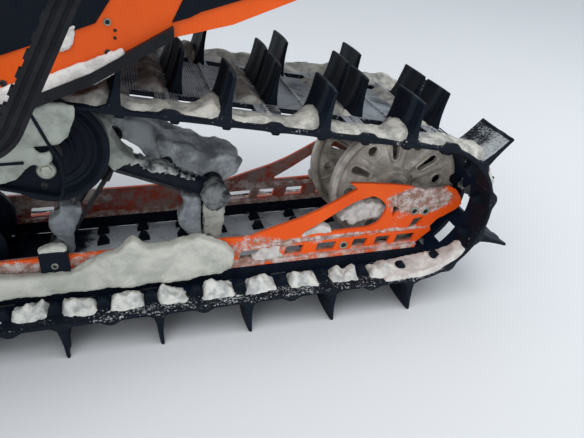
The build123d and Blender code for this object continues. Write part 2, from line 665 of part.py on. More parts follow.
for label, hand in SIDES:
    outer_face = HALF_TUNNEL + TUNNEL_SHEET
    with BuildPart() as panel:
        with BuildSketch(side(hand * (HALF_TUNNEL + TUNNEL_SHEET / 2))):
            Polygon(*[at(*p) for p in (
                (TUNNEL_FRONT, BOARD_HEIGHT), *lower_edge, (TUNNEL_TAIL, TUNNEL_TOP - 22),
                (TUNNEL_TAIL, TUNNEL_TOP), (TUNNEL_FRONT, TUNNEL_TOP))], align=None)
            with Locations(at(*BULKHEAD)):
                with GridLocations(BULKHEAD_LONG, BULKHEAD_TALL, 2, 2):
                    Circle(BULKHEAD_HOLE / 2, mode=Mode.SUBTRACT)
        extrude(amount=TUNNEL_SHEET / 2, both=True)
    save(panel, f"tunnel_side_{label}")
    with BuildPart() as bearing:
        with BuildSketch(side(hand * (BEARING_FACE - BEARING_THICK / 2))):
            with Locations(at(*DRIVE)):
                RectangleRounded(BEARING, BEARING, BEARING / 4)
                Circle(DRIVE_SHAFT / 2 + FIT, mode=Mode.SUBTRACT)
        extrude(amount=BEARING_THICK / 2, both=True)
    save(bearing, f"drive_bearing_{label}")

    # drop bracket with its folded edge and a rib, and the front bracket
    rear_edge = [(CARRIER_X + ahead, CARRIER_HEIGHT + up) for ahead, up in DROP_REAR]
    flange_line = [(CARRIER_X + 4, BOARD_HEIGHT - SEAT), *rear_edge]
    ear_x, ear_z = SHOCK_SHAFT
    ear = [(ear_x - EAR, ear_z - EAR / 2), (ear_x - EAR / 2, ear_z - EAR), (ear_x + EAR / 2, ear_z - EAR),
           (ear_x + EAR, ear_z - EAR / 2), (ear_x + 3 * EAR, BOARD_HEIGHT)]
    inner_face = HALF_TUNNEL - BRACKET_THICK
    with BuildPart() as bracket:
        plate([(CARRIER_X + 4, BRACKET_TOP), *flange_line, *ear, (ear_x + 3 * EAR, BRACKET_TOP)],
              hand * inner_face, hand * HALF_TUNNEL)
        plate(band(flange_line, BRACKET_THICK), hand * inner_face, hand * (inner_face + FLANGE))
        rib = CARRIER_HEIGHT + AXLE / 2
        plate([(CARRIER_X + AXLE, rib), (ear_x, rib), (ear_x, rib + BRACKET_THICK),
               (CARRIER_X + AXLE, rib + BRACKET_THICK)], hand * inner_face, hand * (inner_face + FLANGE))
        bored(CARRIER, hand * inner_face, hand * (HALF_TUNNEL + FLANGE), AXLE)
        bored(SHOCK_SHAFT, hand * inner_face, hand * (HALF_TUNNEL + FLANGE), SHAFT)
    save(bracket, f"drop_bracket_{label}")
    with BuildPart() as bracket:
        with BuildSketch(side(hand * BRACKET_Y)):
            with Locations(at(*FRONT_TOP)):
                Circle(EAR)
            with Locations(at(FRONT_TOP[0], BRACKET_TOP - BRACKET_THICK)):
                Rectangle(FRONT_FOOT, 2 * BRACKET_THICK)
            make_hull()
            with Locations(at(*FRONT_TOP)):
                Circle(SHAFT / 2 + FIT, mode=Mode.SUBTRACT)
        extrude(amount=BRACKET_THICK / 2, both=True)
    save(bracket, f"front_bracket_{label}")

    # running board with its traction holes, and the trim that runs on along the tunnel's lower edge
    with BuildPart() as board:
        x0, z0 = at(BOARD_END, BOARD_HEIGHT)
        x1, _ = at(TUNNEL_FRONT, BOARD_HEIGHT)
        with BuildSketch(Plane.XY.offset(z0)):
            with Locations(((x0 + x1) / 2, hand * (outer_face + BOARD_OUT) / 2)):
                Rectangle(x1 - x0, BOARD_OUT - outer_face)
                with GridLocations((x1 - x0) / BOARD_HOLE_COLUMNS, (BOARD_OUT - outer_face) / BOARD_HOLE_ROWS,
                                   BOARD_HOLE_COLUMNS, BOARD_HOLE_ROWS):
                    RegularPolygon(BOARD_HOLE / 2, 6, mode=Mode.SUBTRACT)
        extrude(amount=BOARD_THICK)
        trim = [(BOARD_END + TRIM_TALL, BOARD_HEIGHT), *lower_edge[:TRIM_POINTS]]
        plate([*trim, *[(x, z + TRIM_TALL) for x, z in reversed(trim)]],
              hand * outer_face, hand * (outer_face + TRIM_THICK))
    save(board, f"running_board_{label}")

    # edge rail: a grooved bar swept along the board and up the kick, and the strut behind it
    path = edge_path()
    g, d = EDGE_GROOVE, EDGE_GROOVE_DEPTH
    wide, tall = EDGE_RAIL_WIDE, EDGE_RAIL_TALL
    # outward from the board, up from its underside
    section_corners = ((0, 0), (wide, 0), (wide, g), (wide - d, g), (wide - d, 2 * g), (wide, 2 * g),
                       (wide, 3 * g), (wide - d, 3 * g), (wide - d, 4 * g), (wide, 4 * g), (wide, tall),
                       (wide - g, tall), (wide - g, tall - d), (g, tall - d), (g, tall), (0, tall))
    with BuildPart() as edge:
        with BuildSketch(Plane(origin=path @ 0, x_dir=(0, 1, 0), z_dir=path % 0)) as section:
            Polygon(*[(hand * (BOARD_OUT + out), -up) for out, up in section_corners], align=None)
        sweep(section.sketch, path=path)
    save(edge, f"edge_rail_{label}")
    with BuildPart() as strut:
        rise = 0.9 * (KICK_TOP - BOARD_HEIGHT)
        lean = radians(KICK_ANGLE)
        across((KICK_START - rise / tan(lean) + EDGE_RAIL_TALL / 2 * sin(lean),
                BOARD_HEIGHT + rise + EDGE_RAIL_TALL / 2 * cos(lean)),
               hand * outer_face, hand * BOARD_OUT, KICK_STRUT)
    save(strut, f"kick_strut_{label}")

# Tunnel top and the rear grab bar
with BuildPart() as tunnel_top:
    x0, z0 = at(TUNNEL_TAIL, TUNNEL_TOP)
    x1, _ = at(TUNNEL_FRONT, TUNNEL_TOP)
    with BuildSketch(Plane.XY.offset(z0)):
        with Locations(((x0 + x1) / 2, 0)):
            Rectangle(x1 - x0, TUNNEL_INSIDE + 2 * TUNNEL_SHEET)
    extrude(amount=TUNNEL_SHEET)
save(tunnel_top, "tunnel_top")
with BuildPart() as bumper:
    height = TUNNEL_TOP - 20
    y = HALF_TUNNEL + TUNNEL_SHEET + BUMPER_TUBE / 2
    back = TUNNEL_TAIL - BUMPER_REACH
    points = [(*at(x, height), s) for x, s in ((150, 1), (back, 1), (back, -1), (150, -1))]
    with BuildLine() as route:
        FilletPolyline(*[(px, s * y, pz) for px, pz, s in points], radius=60)
    with BuildSketch(Plane(origin=route.line @ 0, z_dir=route.line % 0)):
        Circle(BUMPER_TUBE / 2)
    sweep()
save(bumper, "rear_bumper")
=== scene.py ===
"""Looks of a snowmobile's rear track section: rubber, paint, alloy, frost and packed snow.

Metres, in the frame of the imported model: +X to the front of the machine, +Y to its left, +Z up.
"""
import json
from math import acos, atan2, ceil, cos, exp, hypot, pi, radians, sin

import bmesh
import bpy
from mathutils import Matrix, Vector, noise


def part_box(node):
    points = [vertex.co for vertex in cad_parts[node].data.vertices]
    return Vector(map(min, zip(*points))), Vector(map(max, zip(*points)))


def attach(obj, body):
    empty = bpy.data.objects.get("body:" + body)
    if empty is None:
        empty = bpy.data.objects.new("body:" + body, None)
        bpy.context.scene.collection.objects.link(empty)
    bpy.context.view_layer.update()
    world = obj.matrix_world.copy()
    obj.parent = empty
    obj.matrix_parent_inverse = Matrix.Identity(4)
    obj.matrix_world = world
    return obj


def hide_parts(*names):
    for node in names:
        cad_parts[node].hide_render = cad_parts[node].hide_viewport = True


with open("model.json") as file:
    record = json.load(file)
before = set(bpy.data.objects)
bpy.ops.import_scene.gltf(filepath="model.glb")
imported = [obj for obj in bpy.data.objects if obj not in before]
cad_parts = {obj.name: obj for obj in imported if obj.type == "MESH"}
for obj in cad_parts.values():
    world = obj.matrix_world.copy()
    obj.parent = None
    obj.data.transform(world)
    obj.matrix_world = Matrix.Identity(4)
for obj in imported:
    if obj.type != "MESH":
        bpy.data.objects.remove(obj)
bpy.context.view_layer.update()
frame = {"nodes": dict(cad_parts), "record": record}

# The photograph's view
CAMERA_AT = (-0.363, 0.9699, 0.7084)
CAMERA_YAW = radians(17.0)
CAMERA_TILT = radians(30.55)
CAMERA_ROLL = radians(-3.25)
CAMERA_LENS = 36.33

# Track
PITCH_COUNT = 54
TRACK_HALF = 0.1905
BELT = 0.008
SEAT = 0.0003
PADDLE_HEIGHT = 0.065
PADDLE_BASE = 0.022
PADDLE_TIP = 0.0065
PADDLE_SPLIT = 0.096
PADDLE_GAP = 0.008
PADDLE_CUP = 0.0035
PADDLE_END = 0.002
PADDLE_LEAN = 0.006
OUTER_PADDLE = 0.0965
MIDDLE_PHASE = 0.016
MIDDLE_TAPER = 0.003
PADDLE_RIB = 0.0022
FROSTED_PADDLE = 50
DRIVE_LUG_HEIGHT = 0.0155
DRIVE_LUG_BASE = 0.022
DRIVE_LUG_WIDTH = 0.016
DRIVE_LUG_ROWS = (0.155, 0.078, 0.04)
LUG_PHASE = 0.01
WINDOW = (0.097, 0.127)
CLIP_EVERY = 3
NOTCH_PITCH = 0.0085
SPROCKET_TEETH = 8
PITCH = 0.0762
NOSE = (1.19, 0.35)

SIDES = (("left", 1), ("right", -1))
SQUARE = ((-1, -1), (1, -1), (1, 1), (-1, 1))


def middle(node):
    low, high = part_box(node)
    return (low + high) / 2


def radius_of(node):
    low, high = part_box(node)
    return (high.z - low.z) / 2


def outer_face(node, hand):
    """Side distance of a node's outermost point on one side."""
    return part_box(node)[hand > 0].y


REAR_AXLE = middle("rear_axle")
CARRIER = middle("carrier_wheel_left")
DRIVE = middle("drive_sprockets")
BELT_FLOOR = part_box("slide_left")[0].z - SEAT
RAIL_Y = 0.112
RAIL_FACE = 0.116
RAIL_WEB = 0.008
RAIL_FOOT = 0.026
BRACKET_FACE = 0.201
TUNNEL_FRONT, TUNNEL_FACE, TUNNEL_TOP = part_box("tunnel_side_left")[1]


def at(x, z):
    """A point of the side view: x forward of the rear axle, z above the belt's inner face."""
    return (x + REAR_AXLE.x, z + BELT_FLOOR)


def outline(*points):
    """Points of the side view, given in millimetres."""
    return [at(x / 1000, z / 1000) for x, z in points]


def around(x, z, reach, angle, y):
    """A point at a reach and an angle from (x, z)."""
    return (x + reach * cos(angle), y, z + reach * sin(angle))


def circle(x, y, z, radius, sides):
    return [around(x, z, radius, 2 * pi * i / sides, y) for i in range(sides)]


# Meshes
class Shape:
    """Points and faces of one piece, with values at the points that its finish reads."""

    def __init__(self):
        self.points = []
        self.faces = []
        # Point values: frost, and where a highlight is painted
        self.values = {"frost": [], "sheen": []}
        self.places = []
        self.looks = []

    def add(self, points, faces, frost=0.0, sheen=0.0):
        start = len(self.points)
        self.points += [tuple(p) for p in points]
        self.faces += [tuple(start + i for i in face) for face in faces]
        for name, value in (("frost", frost), ("sheen", sheen)):
            self.values[name] += value if isinstance(value, list) else [value] * len(points)

    def loft(self, rings, caps=True, **values):
        """A skin over closed rings of equally many points."""
        count = len(rings[0])
        faces = []
        for low in range(0, (len(rings) - 1) * count, count):
            for i in range(count):
                j = (i + 1) % count
                faces.append((low + i, low + j, low + count + j, low + count + i))
        if caps:
            faces.append(tuple(reversed(range(count))))
            faces.append(tuple(range(low + count, low + 2 * count)))
        self.add([p for ring in rings for p in ring], faces, **values)

    def prism(self, corners, y0, y1):
        """A prism over an outline of the side view."""
        self.loft([[(x, y, z) for x, z in corners] for y in (y0, y1)])

    def turned(self, x, y, z, out, profile, sides=24):
        """A form turned about the Y axis, by (radius, distance outward)."""
        self.loft([circle(x, y + out * reach, z, radius, sides) for radius, reach in profile])

    def tube(self, path, radius, sides=8):
        """A closed ring of tube along a closed path."""
        points = [Vector(p) for p in path]
        angles = [2 * pi * k / sides for k in range(sides)]
        rings = []
        for i, point in enumerate(points):
            ahead = (points[(i + 1) % len(points)] - points[i - 1]).normalized()
            across = ahead.cross(Vector((0, 1, 0))).normalized()
            above = ahead.cross(across)
            rings.append([point + across * cos(a) * radius + above * sin(a) * radius for a in angles])
        self.loft(rings + rings[:1], caps=False)

    def mesh(self, name):
        mesh = bpy.data.meshes.new(name)
        mesh.from_pydata(self.points, [], self.faces)
        if self.places:
            layer = mesh.uv_layers.new(name="belt")
            layer.data.foreach_set("uv", [c for face in self.places for corner in face for c in corner])
        if self.looks:
            mesh.polygons.foreach_set("material_index", self.looks)
        for value_name, numbers in self.values.items():
            if any(numbers):
                layer = mesh.attributes.new(value_name, "FLOAT", "POINT")
                layer.data.foreach_set("value", numbers)
        recalculate(mesh)
        return mesh

    def piece(self, name, slot, looks=(), replaces=(), sharp=35):
        finished(self.mesh(name), name, slot, looks, replaces, sharp)


def recalculate(mesh):
    """Turns every closed shell's faces outward."""
    sheet = bmesh.new()
    sheet.from_mesh(mesh)
    bmesh.ops.recalc_face_normals(sheet, faces=sheet.faces)
    sheet.to_mesh(mesh)
    sheet.free()


def placed(name, data):
    """A new object in the scene."""
    thing = bpy.data.objects.new(name, data)
    bpy.context.scene.collection.objects.link(thing)
    return thing


def settled(thing):
    """An object's evaluated mesh; the object itself is removed."""
    depsgraph = bpy.context.evaluated_depsgraph_get()
    mesh = bpy.data.meshes.new_from_object(thing.evaluated_get(depsgraph))
    bpy.data.objects.remove(thing)
    return mesh


def finished(mesh, name, slot, looks=(), replaces=(), sharp=35):
    """Makes a mesh a piece, with its own looks or that of its slot."""
    mesh.shade_smooth()
    mesh.set_sharp_from_angle(angle=radians(sharp))
    for look in looks or (slot,):
        mesh.materials.append(LOOK[look])
    thing = placed(name, mesh)
    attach(thing, "root")
    if replaces:
        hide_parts(*replaces)


def plate(outer, openings, y, thick, bevel=0.0007):
    """A plate with openings and bevelled rims."""
    curve = bpy.data.curves.new("plate", "CURVE")
    curve.dimensions = "2D"
    curve.fill_mode = "BOTH"
    curve.extrude = thick / 2 - bevel
    curve.bevel_depth = bevel
    curve.bevel_resolution = 1
    curve.offset = -bevel
    for corners in (outer, *openings):
        spline = curve.splines.new("POLY")
        spline.points.add(len(corners) - 1)
        for point, (x, z) in zip(spline.points, corners):
            point.co = (x, z, 0.0, 1.0)
        spline.use_cyclic_u = True
    mesh = settled(placed("plate", curve))
    points = [(v.co.x, y + v.co.z, v.co.y) for v in mesh.vertices]
    faces = [tuple(p.vertices) for p in mesh.polygons]
    bpy.data.meshes.remove(mesh)
    return points, faces


def rounded(corners, radius):
    """The same outline with round corners."""
    steps = 4
    points = []
    for i, corner in enumerate(corners):
        here = Vector(corner)
        back, ahead = Vector(corners[i - 1]) - here, Vector(corners[(i + 1) % len(corners)]) - here
        reach = min(radius, back.length * 0.45, ahead.length * 0.45)
        start, end = here + back.normalized() * reach, here + ahead.normalized() * reach
        for k in range(steps + 1):
            share = k / steps
            points.append(tuple(start.lerp(here, share).lerp(here.lerp(end, share), share)))
    return points


def rough_height(place, scale, octaves=4):
    return noise.fractal(Vector(place) * scale, 0.9, 2.1, octaves)


def soften(name, shape, look, seed, voxel=0.004, smooth=5, lump=0.004, crumb=0.0014):
    """One lumpy mass of snow from closed shapes that may overlap."""
    rough = placed(name + "_rough", shape.mesh(name + "_rough"))
    remesh = rough.modifiers.new("remesh", "REMESH")
    remesh.mode = "VOXEL"
    remesh.voxel_size = voxel
    rounding = rough.modifiers.new("rounding", "SMOOTH")
    rounding.factor = 0.5
    rounding.iterations = smooth
    mesh = settled(rough)
    mesh.name = name
    offset = Vector((0.0, 0.0, seed))
    moved = []
    for vertex in mesh.vertices:
        spot = vertex.co + offset
        push = lump * rough_height(spot, 26.0, 3) + crumb * rough_height(spot, 170.0, 3)
        moved.append(vertex.co + vertex.normal * push)
    for vertex, place in zip(mesh.vertices, moved):
        vertex.co = place
    mesh.update()
    finished(mesh, name, "track_rubber", (look,), sharp=180)


# The belt's inner line: arcs round four wheels with straight runs between
SPROCKET_RADIUS = SPROCKET_TEETH * PITCH / (2 * pi) - BELT / 2
REAR_RADIUS = radius_of("rear_wheel_left") + SEAT
WHEELS = (
    (*at(0.0, REAR_RADIUS), REAR_RADIUS),
    (*at(*NOSE), NOSE[1]),
    (DRIVE.x, DRIVE.z, SPROCKET_RADIUS),
    (CARRIER.x, CARRIER.z, radius_of("carrier_wheel_left") + SEAT),
)


def outward(first, second):
    """Angle of the outward normal on the run from one wheel to the next."""
    (x0, z0, r0), (x1, z1, r1) = first, second
    return atan2(z1 - z0, x1 - x0) - acos((r0 - r1) / hypot(x1 - x0, z1 - z0))


def belt_runs():
    """Arcs as (length, wheel, start angle) and runs as (length, start, end, angle)."""
    runs = []
    for i, wheel in enumerate(WHEELS):
        x, z, radius = wheel
        following = WHEELS[(i + 1) % len(WHEELS)]
        meets, leaves = outward(WHEELS[i - 1], wheel), outward(wheel, following)
        sweep = (leaves - meets) % (2 * pi)
        runs.append(((radius + BELT / 2) * sweep, wheel, meets))
        start = Vector((x + radius * cos(leaves), z + radius * sin(leaves)))
        end = Vector((following[0] + following[2] * cos(leaves), following[1] + following[2] * sin(leaves)))
        runs.append(((end - start).length, start, end, leaves))
    return runs


BELT_RUNS = belt_runs()
LOOP = sum(run[0] for run in BELT_RUNS)
SPACING = LOOP / PITCH_COUNT
FIRST_PADDLE = BELT_RUNS[0][0]
FIRST_LUG = FIRST_PADDLE + LUG_PHASE


def belt(s):
    """The belt's inner face and its normal's angle at a distance along the loop."""
    s %= LOOP
    for run in BELT_RUNS:
        if s <= run[0]:
            if len(run) == 3:
                _, (x, z, radius), meets = run
                angle = meets + s / (radius + BELT / 2)
                return x + radius * cos(angle), z + radius * sin(angle), angle
            _, start, end, angle = run
            place = start.lerp(end, s / run[0])
            return place.x, place.y, angle
        s -= run[0]
    return belt(0)


def bent(s, y, height, ahead=0.0):
    """A point at s: height outward, and ahead along the belt on a stiff lug."""
    x, z, angle = belt(s)
    return (x + height * cos(angle) - ahead * sin(angle), y, z + height * sin(angle) + ahead * cos(angle))


def run_start(index):
    """Where an arc or run starts along the loop; 0 is the rear wheel's arc."""
    return sum(run[0] for run in BELT_RUNS[:index])


def span(hand, near, far):
    """Two side distances as a rising pair on one side."""
    return sorted((hand * near, hand * far))


def ramp(value, low, high):
    """0 below low, 1 above high, smooth between."""
    share = min(1.0, max(0.0, (value - low) / (high - low)))
    return share * share * (3 - 2 * share)


def hill(value, centre, width):
    return exp(-((value - centre) / width) ** 2)


# Materials
class Finish:
    """A node material with short ways to add nodes."""

    def __init__(self, name, roughness, specular, metallic=0.0):
        self.material = bpy.data.materials.new(name)
        self.material.use_nodes = True
        self.tree = self.material.node_tree
        self.shader = self.tree.nodes["Principled BSDF"].inputs
        self.roughness = roughness
        self.set(self.shader["Roughness"], roughness)
        self.set(self.shader["Metallic"], metallic)
        self.set(self.shader["Specular IOR Level"], specular)
        coordinates = self.node("TexCoord").outputs
        self.place, self.flat = coordinates["Object"], coordinates["UV"]
        _, self.sideways, self.up = self.parts(self.node("NewGeometry").outputs["Normal"])

    def set(self, socket, value):
        if isinstance(value, bpy.types.NodeSocket):
            self.tree.links.new(value, socket)
        else:
            socket.default_value = value

    def node(self, kind, **inputs):
        """A new node with its named inputs set or linked; _ stands for a space."""
        node = self.tree.nodes.new("ShaderNode" + kind)
        for name, value in inputs.items():
            self.set(node.inputs[name.replace("_", " ")], value)
        return node

    def parts(self, vector):
        return list(self.node("SeparateXYZ", Vector=vector).outputs)

    def attribute(self, name):
        node = self.node("Attribute")
        node.attribute_name = name
        return node.outputs["Fac"]

    def noise(self, scale, detail, rough):
        node = self.node("TexNoise", Vector=self.place, Scale=scale, Detail=detail, Roughness=rough)
        return node.outputs["Fac"]

    def blob(self, x, z, wide, tall):
        """1 inside an ellipse of the side view in mm, fading to 0 outside."""
        (x, z), wide, tall = at(x / 1000, z / 1000), wide / 1000, tall / 1000
        scale, shift = (1 / wide, 0, 1 / tall), (-x / wide, 0, -z / tall)
        mapping = self.node("Mapping", Vector=self.place, Scale=scale, Location=shift)
        length = self.node("VectorMath")
        length.operation = "LENGTH"
        self.set(length.inputs[0], mapping.outputs["Vector"])
        return self.step(length.outputs["Value"], 0.6, 1.3, 1.0, 0.0)

    def math(self, operation, first, second=0.0):
        node = self.node("Math")
        node.operation = operation
        self.set(node.inputs[0], first)
        self.set(node.inputs[1], second)
        return node.outputs[0]

    def total(self, *terms):
        """The sum of sockets, each alone or as (socket, factor)."""
        result = None
        for term in terms:
            value = self.math("MULTIPLY", *term) if isinstance(term, tuple) else term
            result = value if result is None else self.math("ADD", result, value)
        return result

    def step(self, value, low, high, to_low=0.0, to_high=1.0):
        limits = dict(From_Min=low, From_Max=high, To_Min=to_low, To_Max=to_high)
        node = self.node("MapRange", Value=value, **limits)
        node.interpolation_type = "SMOOTHSTEP"
        return node.outputs["Result"]

    def blend(self, share, first, second):
        node = self.node("Mix")
        node.data_type = "RGBA"
        self.set(node.inputs[0], share)
        for socket, colour in ((node.inputs[6], first), (node.inputs[7], second)):
            self.set(socket, colour if isinstance(colour, bpy.types.NodeSocket) else (*colour, 1.0))
        return node.outputs[2]

    def surface(self, colour, height, strength, distance):
        """The material with its colour and relief."""
        self.set(self.shader["Base Color"], colour)
        bump = self.node("Bump", Strength=strength, Distance=distance, Height=height)
        self.set(self.shader["Normal"], bump.outputs["Normal"])
        return self.material

    def covered(self, mask, bare, cover, height, strength=0.5, distance=0.0008):
        """The material with a dull cover where the mask says so."""
        self.set(self.shader["Roughness"], self.step(mask, 0.0, 1.0, self.roughness, 0.95))
        return self.surface(self.blend(mask, bare, cover), self.total(*height), strength, distance)


FROST = (0.5, 0.53, 0.55)
BLACK, LIT = (0.003, 0.006, 0.012), (0.006, 0.01, 0.019)

# Frost on the rails as ellipses of the side view: middle, half width, half height in mm and strength
RAIL_FROST = (
    (60, 62, 160, 6, 0.44), (-34, 122, 74, 34, 0.58), (284, 56, 72, 26, 0.42), (180, 60, 60, 12, 0.3),
    (14, 80, 26, 15, 0.3), (700, 60, 100, 22, 0.56), (556, 64, 44, 18, 0.46))


def frosted(name, dark, light, roughness, cover, upward=0.3, patch=14.0, grain=420.0, metallic=0.0,
            frost=FROST, grit=0.45, coarse=60.0, specular=0.3, valued=0.0, sheen=None):
    """Two tones, dusted with frost in patches and where it faces up."""
    coat = Finish(name, roughness, specular, metallic)
    tone = coat.noise(coarse, 5.0, 0.65)
    paint = coat.blend(coat.step(tone, 0.35, 0.7), dark, light)
    # Painted highlight: a lighter tone blended in where the point values ask for it
    if sheen:
        paint = coat.blend(coat.attribute("sheen"), paint, sheen)
    fine = coat.noise(grain, 2.0, 0.5)
    terms = [coat.noise(patch, 6.0, 0.62), (fine, grit), (coat.up, upward)]
    if valued:
        terms.append((coat.attribute("frost"), valued))
    mask = coat.step(coat.total(*terms), 1.12 - cover, 1.34 - cover)
    return coat.covered(mask, paint, frost, ((mask, 1.4), (fine, 0.35)))


def snow_finish(name, light, shade, broad=22.0, grain=1.0):
    """Snow of two tones with fine relief."""
    coat = Finish(name, 0.9, 0.2)
    patches = coat.noise(broad, 6.0, 0.65)
    fine = coat.noise(260.0, 4.0, 0.7)
    tone = coat.blend(coat.step(patches, 0.36, 0.6), shade, light)
    return coat.surface(tone, coat.total((patches, 2.0), fine), 0.6 * grain, 0.0022)


def rail_finish():
    """Orange coat, frosted along the foot and in places; faces towards the middle are painted darker as
    shade, with grey-brown frost on them in patches.
    """
    coat = Finish("orange_powder_coat", 0.4, 0.22)
    _, y, z = coat.parts(coat.place)
    tone = coat.noise(7.0, 3.0, 0.5)
    paint = coat.blend(coat.step(tone, 0.3, 0.7), (0.8, 0.085, 0.006), (0.9, 0.115, 0.009))
    # Painted shade: faces turned towards the track's middle take a darker red, partly under patches of
    # grey-brown frost
    inward = coat.step(coat.math("MULTIPLY", coat.sideways, y), -0.03, 0.0, 1.0, 0.0)
    inner_frost_patches = coat.step(coat.noise(26.0, 7.0, 0.72), 0.38, 0.6)
    dull = coat.blend(inner_frost_patches, (0.4, 0.05, 0.022), (0.28, 0.205, 0.185))
    paint = coat.blend(inward, paint, dull)
    fine = coat.noise(480.0, 2.0, 0.5)
    low = coat.step(z, BELT_FLOOR + 0.03, BELT_FLOOR + 0.037, 1.0, 0.0)
    spots = [(coat.blob(*ellipse), share) for *ellipse, share in RAIL_FROST]
    field = coat.total(coat.noise(30.0, 7.0, 0.72), (fine, 0.45), (coat.up, 0.1), (low, 0.4), *spots)
    mask = coat.step(field, 1.02, 1.18)
    thin = coat.step(coat.noise(60.0, 5.0, 0.7), 0.4, 0.62)
    veil = coat.blend(thin, (0.3, 0.17, 0.13), (0.62, 0.52, 0.49))
    return coat.covered(mask, paint, veil, ((mask, 1.4), (fine, 0.2)), 0.45)


def belt_outside():
    """Ribbed rubber, grey with frost on its cross lines."""
    rib_pitch = 0.0042
    coat = Finish("belt_outside", 0.6, 0.25)
    along, _, _ = coat.parts(coat.flat)
    lines = coat.math("SINE", coat.math("MULTIPLY", along, 2 * pi / rib_pitch))
    patches = coat.noise(16.0, 6.0, 0.65)
    fine = coat.noise(420.0, 2.0, 0.5)
    field = coat.total(patches, (fine, 0.4), (lines, 0.07), (coat.attribute("frost"), 0.56))
    mask = coat.step(field, 1.00, 1.34)
    height = ((lines, 1.0), (mask, 0.8), (fine, 0.3))
    return coat.covered(mask, (0.008, 0.011, 0.018), (0.44, 0.48, 0.52), height, 0.6, 0.0009)


def belt_inside():
    """Smooth rubber under a blue-grey veil of frost."""
    coat = Finish("belt_inside", 0.55, 0.12)
    patches = coat.noise(20.0, 7.0, 0.7)
    fine = coat.noise(300.0, 3.0, 0.6)
    mask = coat.step(coat.total(patches, (fine, 0.35), (coat.attribute("frost"), 0.62)), 1.00, 1.3)
    thin = coat.step(coat.noise(9.0, 5.0, 0.6), 0.35, 0.65)
    veil = coat.blend(thin, (0.58, 0.64, 0.69), (0.76, 0.82, 0.86))
    return coat.covered(mask, (0.004, 0.01, 0.024), veil, ((mask, 1.0), (fine, 0.5)))


def belt_edge():
    """Black rubber peppered with white grains."""
    coat = Finish("belt_edge", 0.5, 0.1)
    grains = coat.noise(230.0, 3.0, 0.75)
    patches = coat.noise(30.0, 5.0, 0.6)
    field = coat.total(grains, (patches, 0.45), (coat.attribute("frost"), 0.14))
    mask = coat.step(field, 0.915, 0.975)
    height = ((mask, 1.5), (grains, 0.5))
    return coat.covered(mask, (0.005, 0.008, 0.014), (0.38, 0.4, 0.41), height, 0.7, 0.0012)


def floor_finish():
    coat = Finish("pale_floor", 0.85, 0.3)
    tone = coat.blend(coat.noise(1.2, 3.0, 0.5), (0.6, 0.615, 0.63), (0.63, 0.645, 0.66))
    coat.set(coat.shader["Base Color"], tone)
    return coat.material


LOOK = {
    "rail_orange": rail_finish(),
    "belt_outside": belt_outside(),
    "belt_inside": belt_inside(),
    "belt_edge": belt_edge(),
    "floor": floor_finish(),
    # Rubber, with a lighter tone painted as a highlight on the paddles' top edges and raised bands
    "track_rubber": frosted(
        "rubber", BLACK, LIT, 0.6, -0.18, 0.06, 9.0, 300.0, frost=(0.42, 0.45, 0.47), valued=0.63,
        sheen=(0.02, 0.029, 0.043), specular=0.12),
    "slide_black": frosted("slide_plastic", BLACK, LIT, 0.5, -0.04, 0.1, specular=0.12),
    "wheel_alloy": frosted(
        "cast_alloy", (0.31, 0.275, 0.235), (0.72, 0.665, 0.59), 0.42, 0.2, 0.12, 34.0, 300.0,
        metallic=0.2, frost=(0.62, 0.6, 0.56), coarse=26.0, specular=0.5),
    "wheel_black": frosted("moulded_black", BLACK, LIT, 0.5, -0.14, 0.05, specular=0.14),
    "steel": frosted("shaft_steel", (0.1, 0.1, 0.1), (0.22, 0.22, 0.21), 0.45, 0.2, metallic=0.7),
    "arm_black": frosted(
        "arm_coat", BLACK, (0.009, 0.012, 0.018), 0.5, 0.06, 0.22, 20.0, 210.0, grit=0.55, specular=0.14),
    "shock_grey": frosted(
        "shock_body", (0.06, 0.06, 0.07), (0.12, 0.12, 0.13), 0.45, 0.3, 0.4, metallic=0.4),
    "strap_web": frosted("webbing", (0.012, 0.012, 0.014), (0.03, 0.03, 0.034), 0.8, 0.15),
    "sprocket_black": frosted("sprocket_plastic", BLACK, LIT, 0.5, 0.05, specular=0.14),
    "tunnel_orange": frosted(
        "orange_paint", (0.66, 0.08, 0.006), (0.74, 0.1, 0.009), 0.4, -0.05, 0.22, 12.0, 520.0,
        frost=(0.66, 0.58, 0.56), coarse=6.0, specular=0.22),
    "tunnel_black": frosted("black_paint", BLACK, (0.005, 0.007, 0.011), 0.55, -0.06, 0.16, specular=0.1),
    "board_black": frosted(
        "board_coat", (0.007, 0.008, 0.01), (0.012, 0.013, 0.016), 0.5, -0.08, 0.14, 20.0, specular=0.14),
    "dark_zinc": frosted(
        "dark_zinc", (0.016, 0.018, 0.018), (0.04, 0.042, 0.04), 0.5, -0.05, 0.1, metallic=0.4),
    "zinc": frosted("zinc_plate", (0.24, 0.25, 0.21), (0.42, 0.43, 0.37), 0.45, 0.02, 0.2, metallic=0.5),
    "snow": snow_finish("packed_snow", (0.56, 0.56, 0.5), (0.42, 0.43, 0.38)),
    "snow_blue": snow_finish("shaded_snow", (0.33, 0.36, 0.38), (0.18, 0.2, 0.22), 30.0),
    "snow_grey": snow_finish("grey_snow", (0.78, 0.82, 0.84), (0.26, 0.28, 0.3), 17.0),
    # Nearly black ice, for the lump on the left pivot
    "snow_dark": snow_finish("dark_ice", (0.2, 0.21, 0.21), (0.01, 0.012, 0.016), 30.0),
    "snow_grit": snow_finish("gritty_snow", (0.5, 0.51, 0.48), (0.03, 0.036, 0.044), 75.0),
    "snow_pink": snow_finish("tinted_snow", (0.66, 0.63, 0.6), (0.46, 0.43, 0.41), 34.0),
    "snow_bank": snow_finish("wind_packed_snow", (0.6, 0.58, 0.52), (0.3, 0.3, 0.28), 46.0),
    "snow_white": snow_finish("fresh_snow", (0.66, 0.66, 0.62), (0.36, 0.38, 0.37), 55.0),
    "snow_green": snow_finish("bracket_snow", (0.36, 0.385, 0.345), (0.22, 0.24, 0.215), 26.0, 0.6),
}


